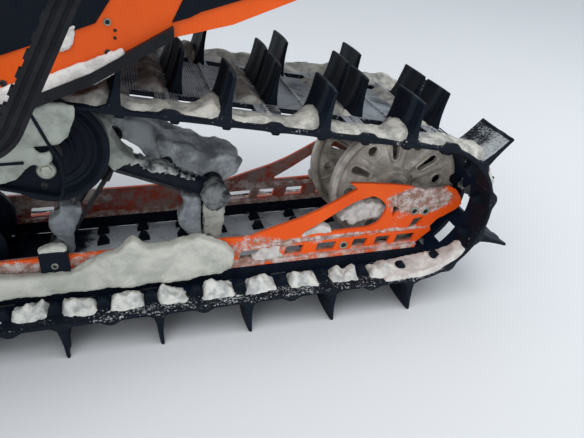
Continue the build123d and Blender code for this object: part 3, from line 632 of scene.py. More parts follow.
def dress_nodes():
    """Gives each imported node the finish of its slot."""
    for part in frame["record"]["subparts"]:
        node = frame["nodes"][part["node"]]
        look = LOOK[part["material_slot"]]
        if node.material_slots:
            for slot in node.material_slots:
                slot.material = look
        else:
            node.data.materials.append(look)


# Belt, paddles and lugs
EDGE_RIB = 0.007
BELT_STEPS = (0.0, 0.06, 0.11, 0.16, 0.22, 0.3, 0.43, 0.57, 0.7, 0.78, 0.84, 0.89, 0.94)
EDGE_LOOK_START = 0.146
BELT_ROWS = (0.0, 0.02, 0.048, 0.072, *WINDOW, EDGE_LOOK_START, 0.166, 0.184, 0.1882, TRACK_HALF)
EDGE_RISE = {0.184: 0.7, 0.1882: 1.0, TRACK_HALF: 0.85}
EDGE_START = 0.16
OUTSIDE, INSIDE, EDGE = 0, 1, 2


def belt_frost(s, inner, y):
    """Frost on the belt: inside on the bottom run, outside on the top run."""
    s %= LOOP
    if inner:
        # Frost inside the belt thins towards the front of the bottom run, leaving the rubber dark there
        forward_thinning = 1 - 0.75 * ramp(s, run_start(1) + 0.54, run_start(1) + 0.62)
        rim = 0.3 if WINDOW[1] <= abs(y) < EDGE_START else 1.0
        return ramp(s, 0.27, 0.36) * (1 - ramp(s, run_start(2), run_start(3))) * forward_thinning * rim
    top = ramp(s, run_start(5) - 0.1, run_start(5) + 0.2) + 1 - ramp(s, 0.05, 0.12)
    return min(1.0, top) * (0.35 if abs(y) > EDGE_START else 1.0)


def belt_mesh():
    """The belt with its windows, a ridge over each cross rod and ribbed edges."""
    rows = [-y for y in reversed(BELT_ROWS[1:])] + list(BELT_ROWS)
    steps = len(BELT_STEPS)
    count = PITCH_COUNT * steps
    along = [(i // steps + BELT_STEPS[i % steps]) * SPACING for i in range(count + 1)]
    shape = Shape()
    for i in range(count):
        share = BELT_STEPS[i % steps]
        s = FIRST_PADDLE + along[i]
        ridge = 1 - ramp(min(share, 1 - share), 0.03, 0.26)
        for y in rows:
            rim = abs(y) == TRACK_HALF
            top = BELT + 0.0012 * ridge - (0.0018 if rim else 0.0)
            top += EDGE_RIB * EDGE_RISE.get(abs(y), 0.0) * ridge
            bottom = -0.0012 * ridge + (0.0016 if rim else 0.0)
            frost = [belt_frost(s, False, y), belt_frost(s, True, y)]
            shape.add([bent(s, y, top), bent(s, y, bottom)], [], frost)

    def nearest(j):
        return min(abs(rows[j]), abs(rows[j + 1]))

    def solid(i, j):
        if not 0 <= j < len(rows) - 1:
            return False
        return not (nearest(j) == WINDOW[0] and 0.22 <= BELT_STEPS[i % steps] < 0.78)

    def face(look, *corners):
        """A face between corners (step, row, 1 outside or 0 inside)."""
        shape.faces.append(tuple(2 * (i % count * len(rows) + j) + 1 - up for i, j, up in corners))
        shape.places.append([(along[i], rows[j]) for i, j, up in corners])
        shape.looks.append(look)

    for i in range(count):
        n = i + 1
        for j in range(len(rows) - 1):
            if not solid(i, j):
                continue
            k = j + 1
            near_edge = nearest(j) >= EDGE_LOOK_START
            face(EDGE if near_edge else OUTSIDE, (i, j, 1), (i, k, 1), (n, k, 1), (n, j, 1))
            face(EDGE if near_edge else INSIDE, (i, j, 0), (n, j, 0), (n, k, 0), (i, k, 0))
            if not solid(i, j - 1):
                face(EDGE, (i, j, 1), (n, j, 1), (n, j, 0), (i, j, 0))
            if not solid(i, k):
                face(EDGE, (i, k, 1), (i, k, 0), (n, k, 0), (n, k, 1))
            if not solid(i - 1, j):
                face(EDGE, (i, j, 1), (i, j, 0), (i, k, 0), (i, k, 1))
            if not solid(n, j):
                face(EDGE, (n, j, 1), (n, k, 1), (n, k, 0), (n, j, 0))
    shape.piece("track_belt", "track_rubber", ("belt_outside", "belt_inside", "belt_edge"), ("track",), 50)


def paddle(shape, s, edge, width, frost, taper=0.0):
    """A scooped paddle from its outer end inward, flared at the root, with a raised band."""
    levels = (0.0, 0.05, 0.13, 0.25, 0.42, 0.65, 0.88, 0.97, 1.0)
    across = (0.0, 0.025, 0.12, 0.22, 0.26, 0.34, 0.42, 0.46, 0.58, 0.72, 0.86, 0.975, 1.0)
    lean = PADDLE_LEAN * ramp(s, run_start(5), run_start(6)) * (1 - ramp(s, LOOP - 0.1, LOOP - 0.02))
    rings, sheen, dust = [], [], []
    for level in levels:
        half = (PADDLE_TIP + (PADDLE_BASE - PADDLE_TIP) * (1 - level) ** 2.6) / 2
        if level == 1.0:
            half *= 0.6
        height = BELT - 0.001 + (PADDLE_HEIGHT + 0.001) * level
        front, back, shine, dusty = [], [], [], []
        for share in across:
            place = share if edge > 0 else 1 - share
            y = edge - taper * level - (width - 2 * taper * level) * share
            swept = level * (lean - PADDLE_CUP * (2 * share - 1) ** 2)
            band = ramp(place, 0.21, 0.27) - ramp(place, 0.41, 0.47)
            rim = half * (0.72 if share in (0.0, 1.0) else 1.0)
            front.append(bent(s, y, height, swept - rim - PADDLE_RIB * band))
            back.append(bent(s, y, height, swept + rim))
            # Painted highlight along the paddle's top edge and over its raised band
            shine.append(1.0 if level == 1.0 else band * 0.8 * ramp(level, 0.1, 0.5))
            dusty.append(frost if level < 0.97 and 0.0 < share < 1.0 else 0.0)
        rings.append(front + list(reversed(back)))
        sheen += shine + [0.0] * len(back)
        dust += dusty + [0.0] * len(back)
    shape.loft(rings, frost=dust, sheen=sheen)


def drive_lug(shape, s, y):
    """A moulded tooth inside the belt, tapered both ways."""
    rings = []
    for level, length, width in ((-0.06, 1.15, 1.2), (0.1, 1.0, 1.0), (0.9, 0.52, 0.8), (1.0, 0.38, 0.62)):
        half, side = DRIVE_LUG_BASE * length / 2, DRIVE_LUG_WIDTH * width / 2
        rings.append([bent(s, y + b * side, -DRIVE_LUG_HEIGHT * level, a * half) for a, b in SQUARE])
    shape.loft(rings)


def clip(shape, s, y):
    """A steel guide clip round the bar between two windows."""
    half, reach, gauge = 0.0125, 0.013, 0.0012
    low, high = -0.0025, BELT + 0.0025
    bend = ((-half, low), (-half, high), (half, high), (half, low))
    bridge = ((-half, high), (half, high), (half, high + gauge), (-half, high + gauge))
    fin = ((-half * 0.8, low), (half * 0.8, low), (half * 0.35, low - 0.01), (-half * 0.35, low - 0.01))
    for side in (y - reach, y + reach):
        step = gauge if side > y else -gauge
        shape.loft([[bent(s, side, h, a) for a, h in bend],
                    [bent(s, side + step, h + (gauge if h > 0 else -gauge), a * 1.06) for a, h in bend]])
    shape.loft([[bent(s, side, h, a) for a, h in bridge] for side in (y - reach, y + reach)])
    for side in (y - reach, y + reach - gauge):
        shape.loft([[bent(s, side + step, h, a) for a, h in fin] for step in (0.0, gauge)])


def notched_rib(shape, s, start, end):
    """Small blocks across the belt where a column has no paddle."""
    count = int((end - start) / NOTCH_PITCH)
    for k in range(count):
        y = start + (end - start) * (k + 0.5) / count
        rings = [[bent(s, y + b * side, height, a * half) for a, b in SQUARE]
                 for height, half, side in ((BELT - 0.001, 0.004, 0.003), (BELT + 0.0042, 0.0026, 0.0022))]
        shape.loft(rings, frost=1.2 * belt_frost(s, False, y))


def make_track():
    belt_mesh()
    paddles, lugs, clips, ribs = Shape(), Shape(), Shape(), Shape()
    outer_end = TRACK_HALF - PADDLE_END
    inner_end = PADDLE_SPLIT + PADDLE_GAP / 2
    for n in range(PITCH_COUNT):
        s = FIRST_PADDLE + n * SPACING
        lug_at = FIRST_LUG + n * SPACING
        frost = 1.0 if n == FROSTED_PADDLE else 0.0
        if n % 2 == 0:
            for edge in (outer_end, OUTER_PADDLE - outer_end):
                paddle(paddles, s, edge, OUTER_PADDLE, frost)
            notched_rib(ribs, s, PADDLE_GAP - inner_end, inner_end - PADDLE_GAP)
        else:
            for edge in (inner_end - PADDLE_GAP, -PADDLE_GAP / 2):
                paddle(paddles, s + MIDDLE_PHASE, edge, PADDLE_SPLIT - PADDLE_GAP, frost, MIDDLE_TAPER)
            for _, hand in SIDES:
                notched_rib(ribs, s, *span(hand, inner_end, EDGE_LOOK_START))
        for row in DRIVE_LUG_ROWS:
            for y in (row, -row):
                drive_lug(lugs, lug_at, y)
        if n % CLIP_EVERY == 0:
            for _, hand in SIDES:
                clip(clips, lug_at, hand * sum(WINDOW) / 2)
    paddles.piece("track_paddles", "track_rubber", sharp=32)
    lugs.piece("track_drive_lugs", "track_rubber", sharp=25)
    ribs.piece("track_notched_ribs", "track_rubber", sharp=25)
    clips.piece("track_clips", "steel", sharp=25)


# Wheels
WHEEL_HOLE_REACH = 0.09
WHEEL_LIP = 0.003
RIB_SECTION = ((-1.6, -0.5), (-0.7, 0.8), (0, 1), (0.7, 0.8), (1.6, -0.5))
RIB_STATIONS = ((0.04, 0.0065, 0.003), (0.06, 0.005, 0.0045), (0.085, 0.0036, 0.004), (0.109, 0.003, 0.002))


def slot_path(x, z, turn, y):
    """A line round one long opening of the rear wheel."""
    path = []
    for reach, end, first in ((WHEEL_HOLE_REACH, 0.0105, -95), (0.06, 0.0075, 85)):
        middle_x, _, middle_z = around(x, z, reach, turn, y)
        path += [around(middle_x, middle_z, end, turn + radians(first + 190 * k / 9), y) for k in range(10)]
    return path


def make_wheel_details():
    """Lips and ribs of the cast rear wheels, rings on the carrier wheels."""
    cast, rings = Shape(), Shape()
    for label, hand in SIDES:
        x, middle_y, z = middle(f"rear_wheel_{label}")
        for face, out in ((0.0018, hand), (0.0042, -hand)):
            y = middle_y + out * face
            for k in range(6):
                cast.tube(slot_path(x, z, radians(26 + 60 * k), y), WHEEL_LIP)
                hole_x, _, hole_z = around(x, z, WHEEL_HOLE_REACH, radians(56 + 60 * k), y)
                cast.tube(circle(hole_x, y, hole_z, 0.0125, 20), WHEEL_LIP)
            for k in range(12):
                angle = radians(11 + 30 * k)
                cast.loft([[around(x, z, reach, angle + a * half / reach, y + out * b * proud)
                            for a, b in RIB_SECTION] for reach, half, proud in RIB_STATIONS])
        x, middle_y, z = middle(f"carrier_wheel_{label}")
        for out in (1, -1):
            face, rim = middle_y + out * 0.0032, middle_y + out * 0.011
            for reach, y in ((0.0585, face), (0.0755, rim), (0.047, face - hand * 0.001)):
                rings.tube(circle(x, y, z, reach, 64), 0.0012)
    cast.piece("rear_wheel_casting", "wheel_alloy", sharp=60)
    rings.piece("carrier_wheel_rings", "wheel_black", sharp=60)


# Fasteners
def make_fasteners():
    """Bolts of three kinds, and the caps on the rear axle."""
    bright, dark, cap = Shape(), Shape(), Shape()

    def hex_bolt(place, out, size, shape=dark, washer=1.9):
        """A bevelled hexagon head on its washer; size is its radius."""
        wide, top = size * washer, size * 0.75
        shape.turned(*place, out, ((0.0, 0.0), (wide, 0.0), (wide, 0.001), (0.0, 0.0011)))
        shape.turned(*place, out, (
            (0.0, 0.0005), (size, 0.001), (size, size * 0.62), (size * 0.82, top), (0.0, top)), 6)

    def ring_bolt(place, out, size):
        """A bright washer ring round a dark sunk head."""
        inner, outer, core = size * 0.62, size * 1.15, size * 0.64
        bright.turned(*place, out, (
            (inner, 0.0), (outer, 0.0), (outer, 0.001), (size, 0.0022), (size * 0.78, 0.0022),
            (inner, 0.0006)))
        dark.turned(*place, out, ((0.0, 0.0), (core, 0.0), (core, 0.0012), (0.0, 0.0014)))

    def socket_bolt(place, out, size):
        """A round head with a recess in its middle."""
        outer, rim, floor = size * 1.15, size * 0.6, size * 0.15
        dark.turned(*place, out, (
            (0.0, 0.0), (outer, 0.0), (outer, 0.0008), (size, 0.0012), (size, size * 0.5),
            (size * 0.86, rim), (rim, rim), (size * 0.52, floor), (0.0, floor)))

    bolts = (
        (ring_bolt, RAIL_FACE, 0.0072, ((-23, 100), (-46, 97), (112, 41))),
        (socket_bolt, RAIL_FACE, 0.0055, [(800 + 110 * k, 66) for k in range(4)]),
        (ring_bolt, outer_face("rail_blocks", 1), 0.0048, ((611, 72),)),
        (ring_bolt, TUNNEL_FACE, 0.004, ((489, 467),)),
        (socket_bolt, TUNNEL_FACE, 0.0037, ((492, 430), (599, 397), (618, 396))),
        (socket_bolt, TUNNEL_FACE, 0.0018, ((481, 457), (482, 448), (552, 401))),
        (socket_bolt, BRACKET_FACE, 0.0045, ((593, 252),)),
        (hex_bolt, TUNNEL_FACE, 0.0042, [(100 + 200 * k, 594) for k in range(9)]),
        (hex_bolt, TUNNEL_FACE, 0.0042, [(680 + 190 * k, 378) for k in range(7)]),
    )
    cap_length = outer_face("rear_axle", 1) - RAIL_FACE
    cap_top = cap_length + 0.0008
    cap_profile = ((0.0, -0.001), (0.017, -0.001), (0.016, cap_length), (0.0125, cap_top), (0.0, cap_top))
    for label, hand in SIDES:
        for bolt, face, size, places in bolts:
            for x, z in outline(*places):
                bolt((x, hand * face, z), hand, size)
        hex_bolt((CARRIER.x, hand * (BRACKET_FACE + 0.006), CARRIER.z), hand, 0.0078, bright, 1.35)
        face = outer_face(f"drive_bearing_{label}", hand)
        for a, b in ((1, 1), (-1, 1), (-1, -1), (1, -1)):
            hex_bolt((DRIVE.x + a * 0.036, face, DRIVE.z + b * 0.036), hand, 0.006, bright)
        cap.turned(REAR_AXLE.x, hand * RAIL_FACE, REAR_AXLE.z, hand, cap_profile)
    cap.piece("rear_axle_caps", "rail_orange", sharp=50)
    bright.piece("bolts_bright", "steel", ("zinc",), sharp=25)
    dark.piece("bolts_dark", "steel", ("dark_zinc",), sharp=25)


# Tunnel panels and the kick rail's teeth
def bevelled(shape, corners, face, out):
    """A plate with a bevelled rim on a face of the tunnel."""
    thick, bevel = 0.003, 0.0015
    middle_x = sum(x for x, z in corners) / len(corners)
    middle_z = sum(z for x, z in corners) / len(corners)
    rings = []
    for reach, inset in ((0.0, 0.0), (thick - bevel, 0.0), (thick, bevel)):
        ring = []
        for x, z in corners:
            ahead, above = x - middle_x, z - middle_z
            share = 1 - inset / hypot(ahead, above)
            ring.append((middle_x + ahead * share, face + out * reach, middle_z + above * share))
        rings.append(ring)
    shape.loft(rings)


def make_panels():
    panels, teeth = Shape(), Shape()
    top = (TUNNEL_TOP - BELT_FLOOR) * 1000 - 3
    front = (TUNNEL_FRONT - REAR_AXLE.x) * 1000 - 4
    side = outline(
        (front, 430), (615, 430), (586, 439), (527, 458), (503, 466), (484, 492), (405, top),
        (1150, top), (1160, top - 10), (front, top - 10))
    tail = outline(
        (412, 466), (392, 471), (377, 478), (326, 492), (40, 568), (-60, 594), (-60, top), (335, top))
    lean = radians(61)
    along, out = Vector((-cos(lean), 0, sin(lean))), Vector((sin(lean), 0, cos(lean)))
    for label, hand in SIDES:
        for corners in (side, tail):
            bevelled(panels, corners, hand * TUNNEL_FACE, hand)
        face = outer_face(f"edge_rail_{label}", hand)
        for k in range(-4, 4):
            x, z = at(0.5665 + 0.0102 * k, 0.47 - 0.0176 * k)
            rings = []
            for inset, small in ((0.014, 1.0), (0.001, 1.0), (0.0002, 0.8)):
                base = Vector((x, face - hand * inset, z))
                section = ((-1, -0.006), (1, -0.006), (0.8, 0.0003 * small), (-0.8, 0.0003 * small))
                rings.append([base + along * a * 0.005 * small + out * b for a, b in section])
            teeth.loft(rings)
    panels.piece("tunnel_panels", "tunnel_black", sharp=20)
    teeth.piece("kick_rail_teeth", "board_black", sharp=20)


# Rails
RAIL_TOP_LINE = (
    (325, 80), (306, 79), (287, 81), (237, 96), (201, 106), (165, 120), (129, 138), (95, 156), (110, 169),
    (76, 166), (32, 160), (-4, 154), (-36, 144), (-69, 142), (-88, 145), (-104, 137), (-116, 120),
    (-121, 105), (-110, 94), (-94, 86), (-75, 77), (-62, 63), (-65, 53), (-31, 24))
RAIL_WINDOW = (
    (192, 77), (159, 95), (121, 118), (98, 131), (64, 140), (50, 133), (34, 117), (35, 102), (47, 81),
    (66, 74), (113, 73), (187, 72))
RAIL_RECESSES = (((21, 92), (21, 115), (6, 108)), ((-16, 64), (-25, 83), (-46, 85), (-34, 66)))
RAIL_LOW_WINDOWS = (
    (-28, 10), (23, 52), (69, 97), (131, 167), (194, 227), (245, 310), (635, 676), (745, 786), (865, 906))
RAIL_FOLD = ((322, 50), (278, 55), (228, 58), (171, 61), (116, 63), (59, 62), (0, 61), (-56, 60))
NOSE_BEND = radians(47)


def nose_arc(height):
    """The rail's bent nose at a height above the belt, from the straight to the tip."""
    steps = 12
    radius = NOSE[1] - height
    x, z = NOSE
    return [at(x + radius * sin(NOSE_BEND * k / steps), z - radius * cos(NOSE_BEND * k / steps))
            for k in range(steps + 1)]


def make_rails():
    """The rails, with the rear window at full length and the fold above the low windows."""
    low, top, foot = 0.024, 0.08, 0.031
    outer = nose_arc(low) + list(reversed(nose_arc(top))) + outline(*RAIL_TOP_LINE)
    openings = [rounded(outline(*RAIL_WINDOW), 0.006)]
    openings += [rounded(outline(*corners), 0.002) for corners in RAIL_RECESSES]
    for back, front in RAIL_LOW_WINDOWS:
        openings.append(rounded(outline((back, 33), (front, 33), (front - 5, 51), (back - 5, 51)), 0.002))
    strip = outline((-31, 24)) + nose_arc(low) + list(reversed(nose_arc(foot))) + outline((-34, 31))
    for label, hand in SIDES:
        shape = Shape()
        shape.add(*plate(outer, openings, hand * RAIL_Y, RAIL_WEB))
        shape.add(*plate(strip, [], hand * RAIL_Y, RAIL_FOOT))
        for out in (hand, -hand):
            face = hand * RAIL_Y + out * RAIL_WEB / 2
            rings = []
            for (x, z), size in zip(outline(*RAIL_FOLD), (0.2, 1, 1, 1, 1, 1, 1, 0.2)):
                proud = 0.0022 * size
                section = (
                    (-0.001, -0.0035 * size), (proud, 0.0005), (0.0015 * size, proud), (-0.001, 0.0035))
                rings.append([(x, face + out * reach, z + rise) for reach, rise in section])
            shape.loft(rings)
        shape.piece(f"rail_plate_{label}", "rail_orange", replaces=(f"rail_{label}",), sharp=28)


def make_inner_idlers():
    """Two small wheels between the lug rows on a shaft from rail to rail."""
    wheels, shaft = Shape(), Shape()
    x, z = at(0.757, 0.0685)
    half = (
        (0.0, 0.007), (0.02, 0.007), (0.022, 0.002), (0.056, 0.002), (0.06, 0.007), (0.066, 0.007),
        (0.0675, 0.005))
    profile = [(radius, -reach) for radius, reach in half] + list(reversed(half))
    for y in (-0.059, 0.059):
        wheels.turned(x, y, z, 1, profile, 64)
    shaft.turned(x, 0.0, z, 1, ((0.0, -0.1105), (0.008, -0.1105), (0.008, 0.1105), (0.0, 0.1105)))
    wheels.piece("inner_idler_wheels", "wheel_black", sharp=32)
    shaft.piece("inner_idler_shaft", "steel", sharp=32)


# Snow
def snow_bed(name, start, end, y0, y1, level, look, seed, inside=False, step=0.006, rough=0.005):
    """Snow on the belt between two distances along it, about as thick as level(s, y)."""
    most, sunk, least = 0.026, -0.001, 0.0004
    rows, columns = ceil((end - start) / step), ceil((y1 - y0) / step)
    heights, points = {}, {}
    for i in range(rows + 1):
        for j in range(columns + 1):
            s = start + (end - start) * i / rows
            y = y0 + (y1 - y0) * j / columns
            place = (s, y, seed)
            thick = level(s, y) + rough * rough_height(place, 24.0) + 0.0018 * rough_height(place, 150.0, 3)
            if i in (0, rows) or j in (0, columns):
                thick = sunk
            heights[i, j] = min(thick, most)
            height = max(heights[i, j], sunk)
            points[i, j] = bent(s, y, -height if inside else BELT + height)
    used, faces = {}, []
    for i in range(rows):
        for j in range(columns):
            corners = ((i, j), (i + 1, j), (i + 1, j + 1), (i, j + 1))
            if max(heights[c] for c in corners) > least:
                faces.append([used.setdefault(c, len(used)) for c in corners])
    shape = Shape()
    shape.add([points[c] for c in used], faces)
    shape.piece(name, "track_rubber", (look,), sharp=180)


def paddle_distance(s, y):
    """Distance along the belt from the nearest paddle of the column at y."""
    parity = 0 if abs(y) > PADDLE_SPLIT else 1
    place = (s - FIRST_PADDLE) / SPACING - parity
    return (place - 2 * round(place / 2)) * SPACING


def make_belt_snow():
    # Drifts at the far edge of the top run: place along the loop, half length, share of the depth
    drifts = ((3.98, 0.038, 1.0), (3.815, 0.04, 1.0), (4.139, 0.034, 1.0), (3.6, 0.05, 0.5))

    def top_level(s, y):
        side = abs(y)
        station = ((s - FIRST_PADDLE) / SPACING) % 1
        inner = 1 - ramp(side, 0.176, 0.186)
        strip = ramp(side, 0.13, EDGE_LOOK_START) * inner
        banked = 1 + 0.8 * hill(side, 0.125, 0.035) * (1 - ramp(s, LOOP - 0.03, LOOP + 0.02))
        pile = hill(paddle_distance(s, y), -0.016, 0.018) * inner * banked
        scallop = hill(min(station, 1 - station), 0.0, 0.16) * ramp(side, 0.16, 0.18)
        far = ramp(-y, 0.15, 0.165) * (1 - ramp(-y, 0.178, 0.188))
        drifted = sum(share * hill(s, place, width) for place, width, share in drifts)
        open_window = WINDOW[0] - 0.005 < side < WINDOW[1] + 0.005 and 0.14 < station < 0.86
        window = 0.02 if open_window else 0.0
        rear = ramp(s, LOOP - 0.02, LOOP + 0.06) * ramp(side, 0.09, 0.13) * 0.004
        deep = 0.01 * strip + 0.013 * pile - 0.008 * scallop + 0.013 * far * drifted
        return -0.0045 + deep - window + rear

    def bottom_level(s, y):
        station = ((s - FIRST_LUG) / SPACING) % 1
        between = ramp(min(station, 1 - station), 0.12, 0.22)
        waves = noise.noise((s * 22.0, 1.0 if y > 0 else 9.0, 4.0))
        uneven = 0.92 + 0.6 * waves + 0.5 * noise.noise((s * 70.0, y * 60.0, 4.0))
        lump = max(0.0, 1 - ((abs(y) - 0.152) / 0.024) ** 2)
        return -0.004 + 0.02 * between * lump * uneven

    def curve_level(s, y):
        reach = ramp(s, 0.262, 0.285) * (1 - ramp(s, 0.425, 0.45))
        inner = 0.15 - 0.024 * ramp(s, 0.27, 0.36)
        lug = ((s - FIRST_LUG) / SPACING) % 1
        bare = hill(min(lug, 1 - lug), 0.0, 0.09) * hill(abs(y), DRIVE_LUG_ROWS[0], 0.007)
        return -0.004 + 0.0135 * reach * ramp(abs(y), inner - 0.006, inner + 0.01) - 0.012 * bare

    rear_end = LOOP + run_start(1) * 0.36
    snow_bed("snow_on_top_run", run_start(5) + 0.15, rear_end, -0.1885, 0.1885, top_level, "snow_bank", 3.0)
    for label, hand in SIDES:
        snow_bed(f"snow_between_lugs_{label}", run_start(1) + 0.02, run_start(2), *span(hand, 0.128, 0.178),
                 bottom_level, "snow_white", 7.0 + hand, inside=True, step=0.0034, rough=0.009)
    for label, hand in SIDES:
        snow_bed(f"snow_in_rear_curve_{label}", 0.25, 0.46, *span(hand, 0.118, 0.189),
                 curve_level, "snow_pink", 11.0 + hand, inside=True, step=0.0038, rough=0.0075)


def slab(name, corners, y0, y1, look, seed, **ways):
    """A lump of snow: an outline of the side view between two side distances."""
    shape = Shape()
    shape.prism(outline(*corners), y0, y1)
    soften(name, shape, look, seed, **ways)


# Lumps on both sides: name, seed, look, two distances to the side, ways of softening, outline
MIRRORED_SNOW = (
    ("snow_on_ledge", 1, "snow_pink", 0.203, 0.214, dict(smooth=3, lump=0.002),
     ((640, 380), (618, 394), (574, 403), (547, 414), (516, 423), (494, 431), (474, 436), (472, 420),
      (492, 402), (518, 390), (550, 382), (583, 372), (640, 364))),
    ("snow_on_side", 2, "snow_pink", 0.203, 0.208, dict(voxel=0.003, smooth=2, lump=0.0015),
     ((524, 466), (548, 458), (560, 446), (549, 431), (534, 438), (530, 450))),
    ("snow_above_rib", 3, "snow_green", 0.2, 0.2095, dict(smooth=2, lump=0.0018, crumb=0.0006),
     ((642, 308), (640, 330), (618, 334), (594, 362), (574, 372), (540, 364), (543, 346), (553, 324),
      (568, 311), (600, 312))),
    ("snow_below_rib", 4, "snow_green", 0.2, 0.2095, dict(smooth=2, lump=0.0018, crumb=0.0006),
     ((648, 306), (625, 317), (597, 314), (596, 300), (578, 304), (576, 291), (590, 281), (602, 288),
      (626, 264), (650, 262))),
    ("snow_behind_wheel", 5, "snow_green", 0.07, 0.116, dict(lump=0.003),
     ((536, 318), (508, 314), (498, 300), (504, 286), (488, 254), (470, 240), (504, 222), (522, 250),
      (536, 284))),
    ("snow_on_block", 7, "snow", 0.116, 0.131, dict(voxel=0.003, smooth=3, lump=0.002),
     ((634, 96), (632, 103), (612, 110), (594, 107), (588, 96))),
)


def make_packed_snow():
    for label, hand in SIDES:
        for name, seed, look, low, high, ways, corners in MIRRORED_SNOW:
            seed += 20.0 if hand > 0 else 33.0
            slab(f"{name}_{label}", corners, *span(hand, low, high), look, seed, **ways)
    fine = dict(voxel=0.003, smooth=3)
    torn = dict(lump=0.005, crumb=0.003)

    slab("snow_on_left_rail", (
        (760, 24), (764, 46), (742, 60), (693, 64), (640, 60), (590, 60), (551, 76), (530, 86), (510, 91),
        (499, 106), (487, 112), (477, 103), (469, 92), (445, 91), (418, 95), (393, 100), (370, 101),
        (352, 91), (331, 77), (322, 58), (326, 36), (345, 24), (450, 20), (604, 20)),
        0.117, 0.143, "snow", 20.0, smooth=7)
    slab("snow_in_left_low_window", (
        (282, 26), (285, 40), (275, 47), (268, 57), (256, 52), (246, 58), (234, 53), (236, 42), (228, 33),
        (240, 26)), 0.106, 0.1185, "snow_pink", 47.0, crumb=0.002, **fine)
    slab("snow_in_left_window", ((196, 70), (178, 83), (158, 91), (140, 80), (138, 70)),
         0.098, 0.117, "snow_pink", 48.0, **fine)

    # The left arm carries a gritty ridge, the right one is caked all round
    slab("snow_on_left_arm", (
        (512, 256), (500, 258), (487, 244), (472, 232), (456, 225), (435, 216), (420, 210), (404, 197),
        (380, 188), (372, 174), (400, 180), (440, 196), (480, 214), (512, 222)),
        0.06, 0.086, "snow_grit", 50.0, voxel=0.0035, smooth=3, **torn)
    cake = Shape()
    cake.prism(outline(
        (530, 250), (500, 256), (454, 246), (406, 216), (366, 198), (327, 182), (291, 172), (272, 154),
        (286, 132), (312, 108), (328, 102), (366, 124), (411, 153), (441, 168), (457, 185), (470, 200),
        (486, 214), (506, 228)), -0.1, -0.036)
    cake.prism(outline(
        (350, 196), (318, 202), (296, 192), (304, 168), (326, 146), (342, 140), (360, 152), (362, 180)),
        -0.06, 0.03)
    cake.prism(outline(
        (440, 226), (424, 230), (380, 216), (350, 200), (350, 176), (402, 184), (424, 196)), -0.06, 0.016)
    soften("snow_on_right_arm", cake, "snow_grey", 53.0, voxel=0.005, smooth=9, lump=0.006)

    # The left pivot and link and the rear strap
    slab("snow_on_left_pivot", (
        (370, 158), (361, 176), (344, 182), (328, 174), (321, 156), (328, 138), (344, 130), (361, 138)),
        0.07, 0.104, "snow_dark", 58.0, **fine, **torn)
    slab("snow_on_left_link", (
        (352, 162), (329, 156), (325, 134), (331, 60), (349, 42), (364, 58), (362, 118)),
        0.048, 0.066, "snow", 57.0, voxel=0.003, smooth=2, **torn)
    slab("snow_beside_left_link", (
        (400, 150), (369, 142), (366, 64), (389, 60), (405, 88), (408, 108), (396, 124)),
        0.046, 0.074, "snow_blue", 59.0)
    slab("snow_on_rear_strap", (
        (600, 138), (566, 133), (566, 122), (576, 104), (584, 84), (588, 42), (598, 27), (606, 50),
        (616, 60), (612, 77), (621, 95), (621, 110), (600, 124)), 0.024, 0.054, "snow_blue", 61.0)

    # Knobs of ice round the rear hubs: middle and radius in mm
    knobs = (
        (28, 99, 9), (42, 107, 10), (58, 111, 11), (75, 112, 10), (91, 108, 11), (104, 99, 10),
        (112, 88, 8), (44, 90, 11), (68, 92, 13), (92, 84, 12))
    bed = outline((108, 84), (98, 98), (60, 104), (30, 98), (28, 90), (60, 82), (90, 76))
    hub = Shape()
    for x, z, size in knobs:
        (x, z), size = at(x / 1000, z / 1000), size / 1000
        knob = ((0.0, 0.0), (size * 0.8, 0.004), (size, 0.015), (size * 0.8, 0.027), (0.0, 0.031))
        for y in (0.074, -0.105):
            hub.turned(x, y, z, 1, knob, 10)
    for low, high in ((0.074, 0.105), (-0.105, -0.074)):
        hub.prism(bed, low + 0.006, high - 0.006)
    soften("snow_on_rear_hubs", hub, "snow_pink", 63.0, voxel=0.0028, smooth=1, lump=0.003, crumb=0.002)


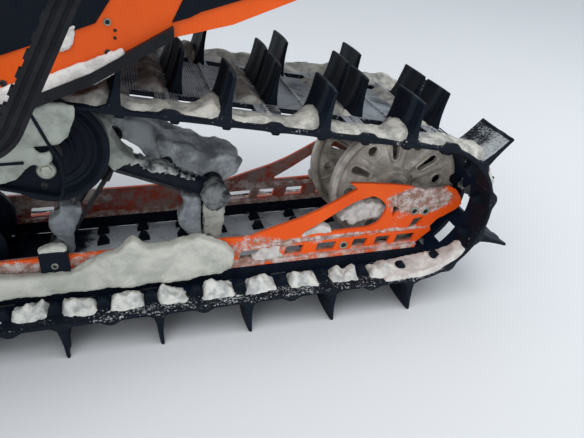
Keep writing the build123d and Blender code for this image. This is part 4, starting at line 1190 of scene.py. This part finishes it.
# Stage
def make_stage():
    mesh = bpy.data.meshes.new("studio_floor")
    size = 30.0
    mesh.from_pydata([(a * size, b * size, 0) for a, b in SQUARE], [], [(0, 1, 2, 3)])
    mesh.materials.append(LOOK["floor"])
    placed("studio_floor", mesh)


def area_light(name, place, target, size, power, tint):
    lamp = bpy.data.lights.new(name, "AREA")
    lamp.shape = "DISK"
    lamp.size = size
    lamp.energy = power
    lamp.color = tint
    thing = placed(name, lamp)
    thing.location = place
    thing.rotation_euler = (Vector(target) - Vector(place)).to_track_quat("-Z", "Y").to_euler()


def make_light():
    world = bpy.data.worlds.new("overcast")
    world.use_nodes = True
    background = world.node_tree.nodes["Background"]
    background.inputs["Color"].default_value = (0.86, 0.91, 0.97, 1.0)
    background.inputs["Strength"].default_value = 0.86
    bpy.context.scene.world = world
    area_light("sky_panel", (-0.2, 1.2, 4.0), (0, 0, 0.2), 4.0, 95.0, (1.0, 0.98, 0.95))
    area_light("front_fill", (1.8, 3.0, 1.6), (0, 0, 0.3), 2.5, 26.0, (1.0, 1.0, 1.0))
    area_light("rear_fill", (-3.0, 0.6, 1.8), (-0.6, 0, 0.3), 2.0, 22.0, (0.92, 0.96, 1.0))
    bpy.context.scene.view_settings.view_transform = "Standard"


def make_camera():
    data = bpy.data.cameras.new("photo_view")
    data.lens = CAMERA_LENS
    data.sensor_width = 36.0
    data.clip_start = 0.01
    camera = placed("photo_view", data)
    flat = cos(CAMERA_TILT)
    forward = Vector((-sin(CAMERA_YAW) * flat, -cos(CAMERA_YAW) * flat, -sin(CAMERA_TILT)))
    level = forward.cross(Vector((0, 0, 1))).normalized()
    down = forward.cross(level)
    right = level * cos(CAMERA_ROLL) + down * sin(CAMERA_ROLL)
    below = down * cos(CAMERA_ROLL) - level * sin(CAMERA_ROLL)
    turn = Matrix((right, -below, -forward)).transposed().to_4x4()
    camera.matrix_world = Matrix.Translation(CAMERA_AT) @ turn
    bpy.context.scene.camera = camera


dress_nodes()
make_track()
make_rails()
make_inner_idlers()
make_wheel_details()
make_fasteners()
make_panels()
make_belt_snow()
make_packed_snow()
make_stage()
make_light()
make_camera()
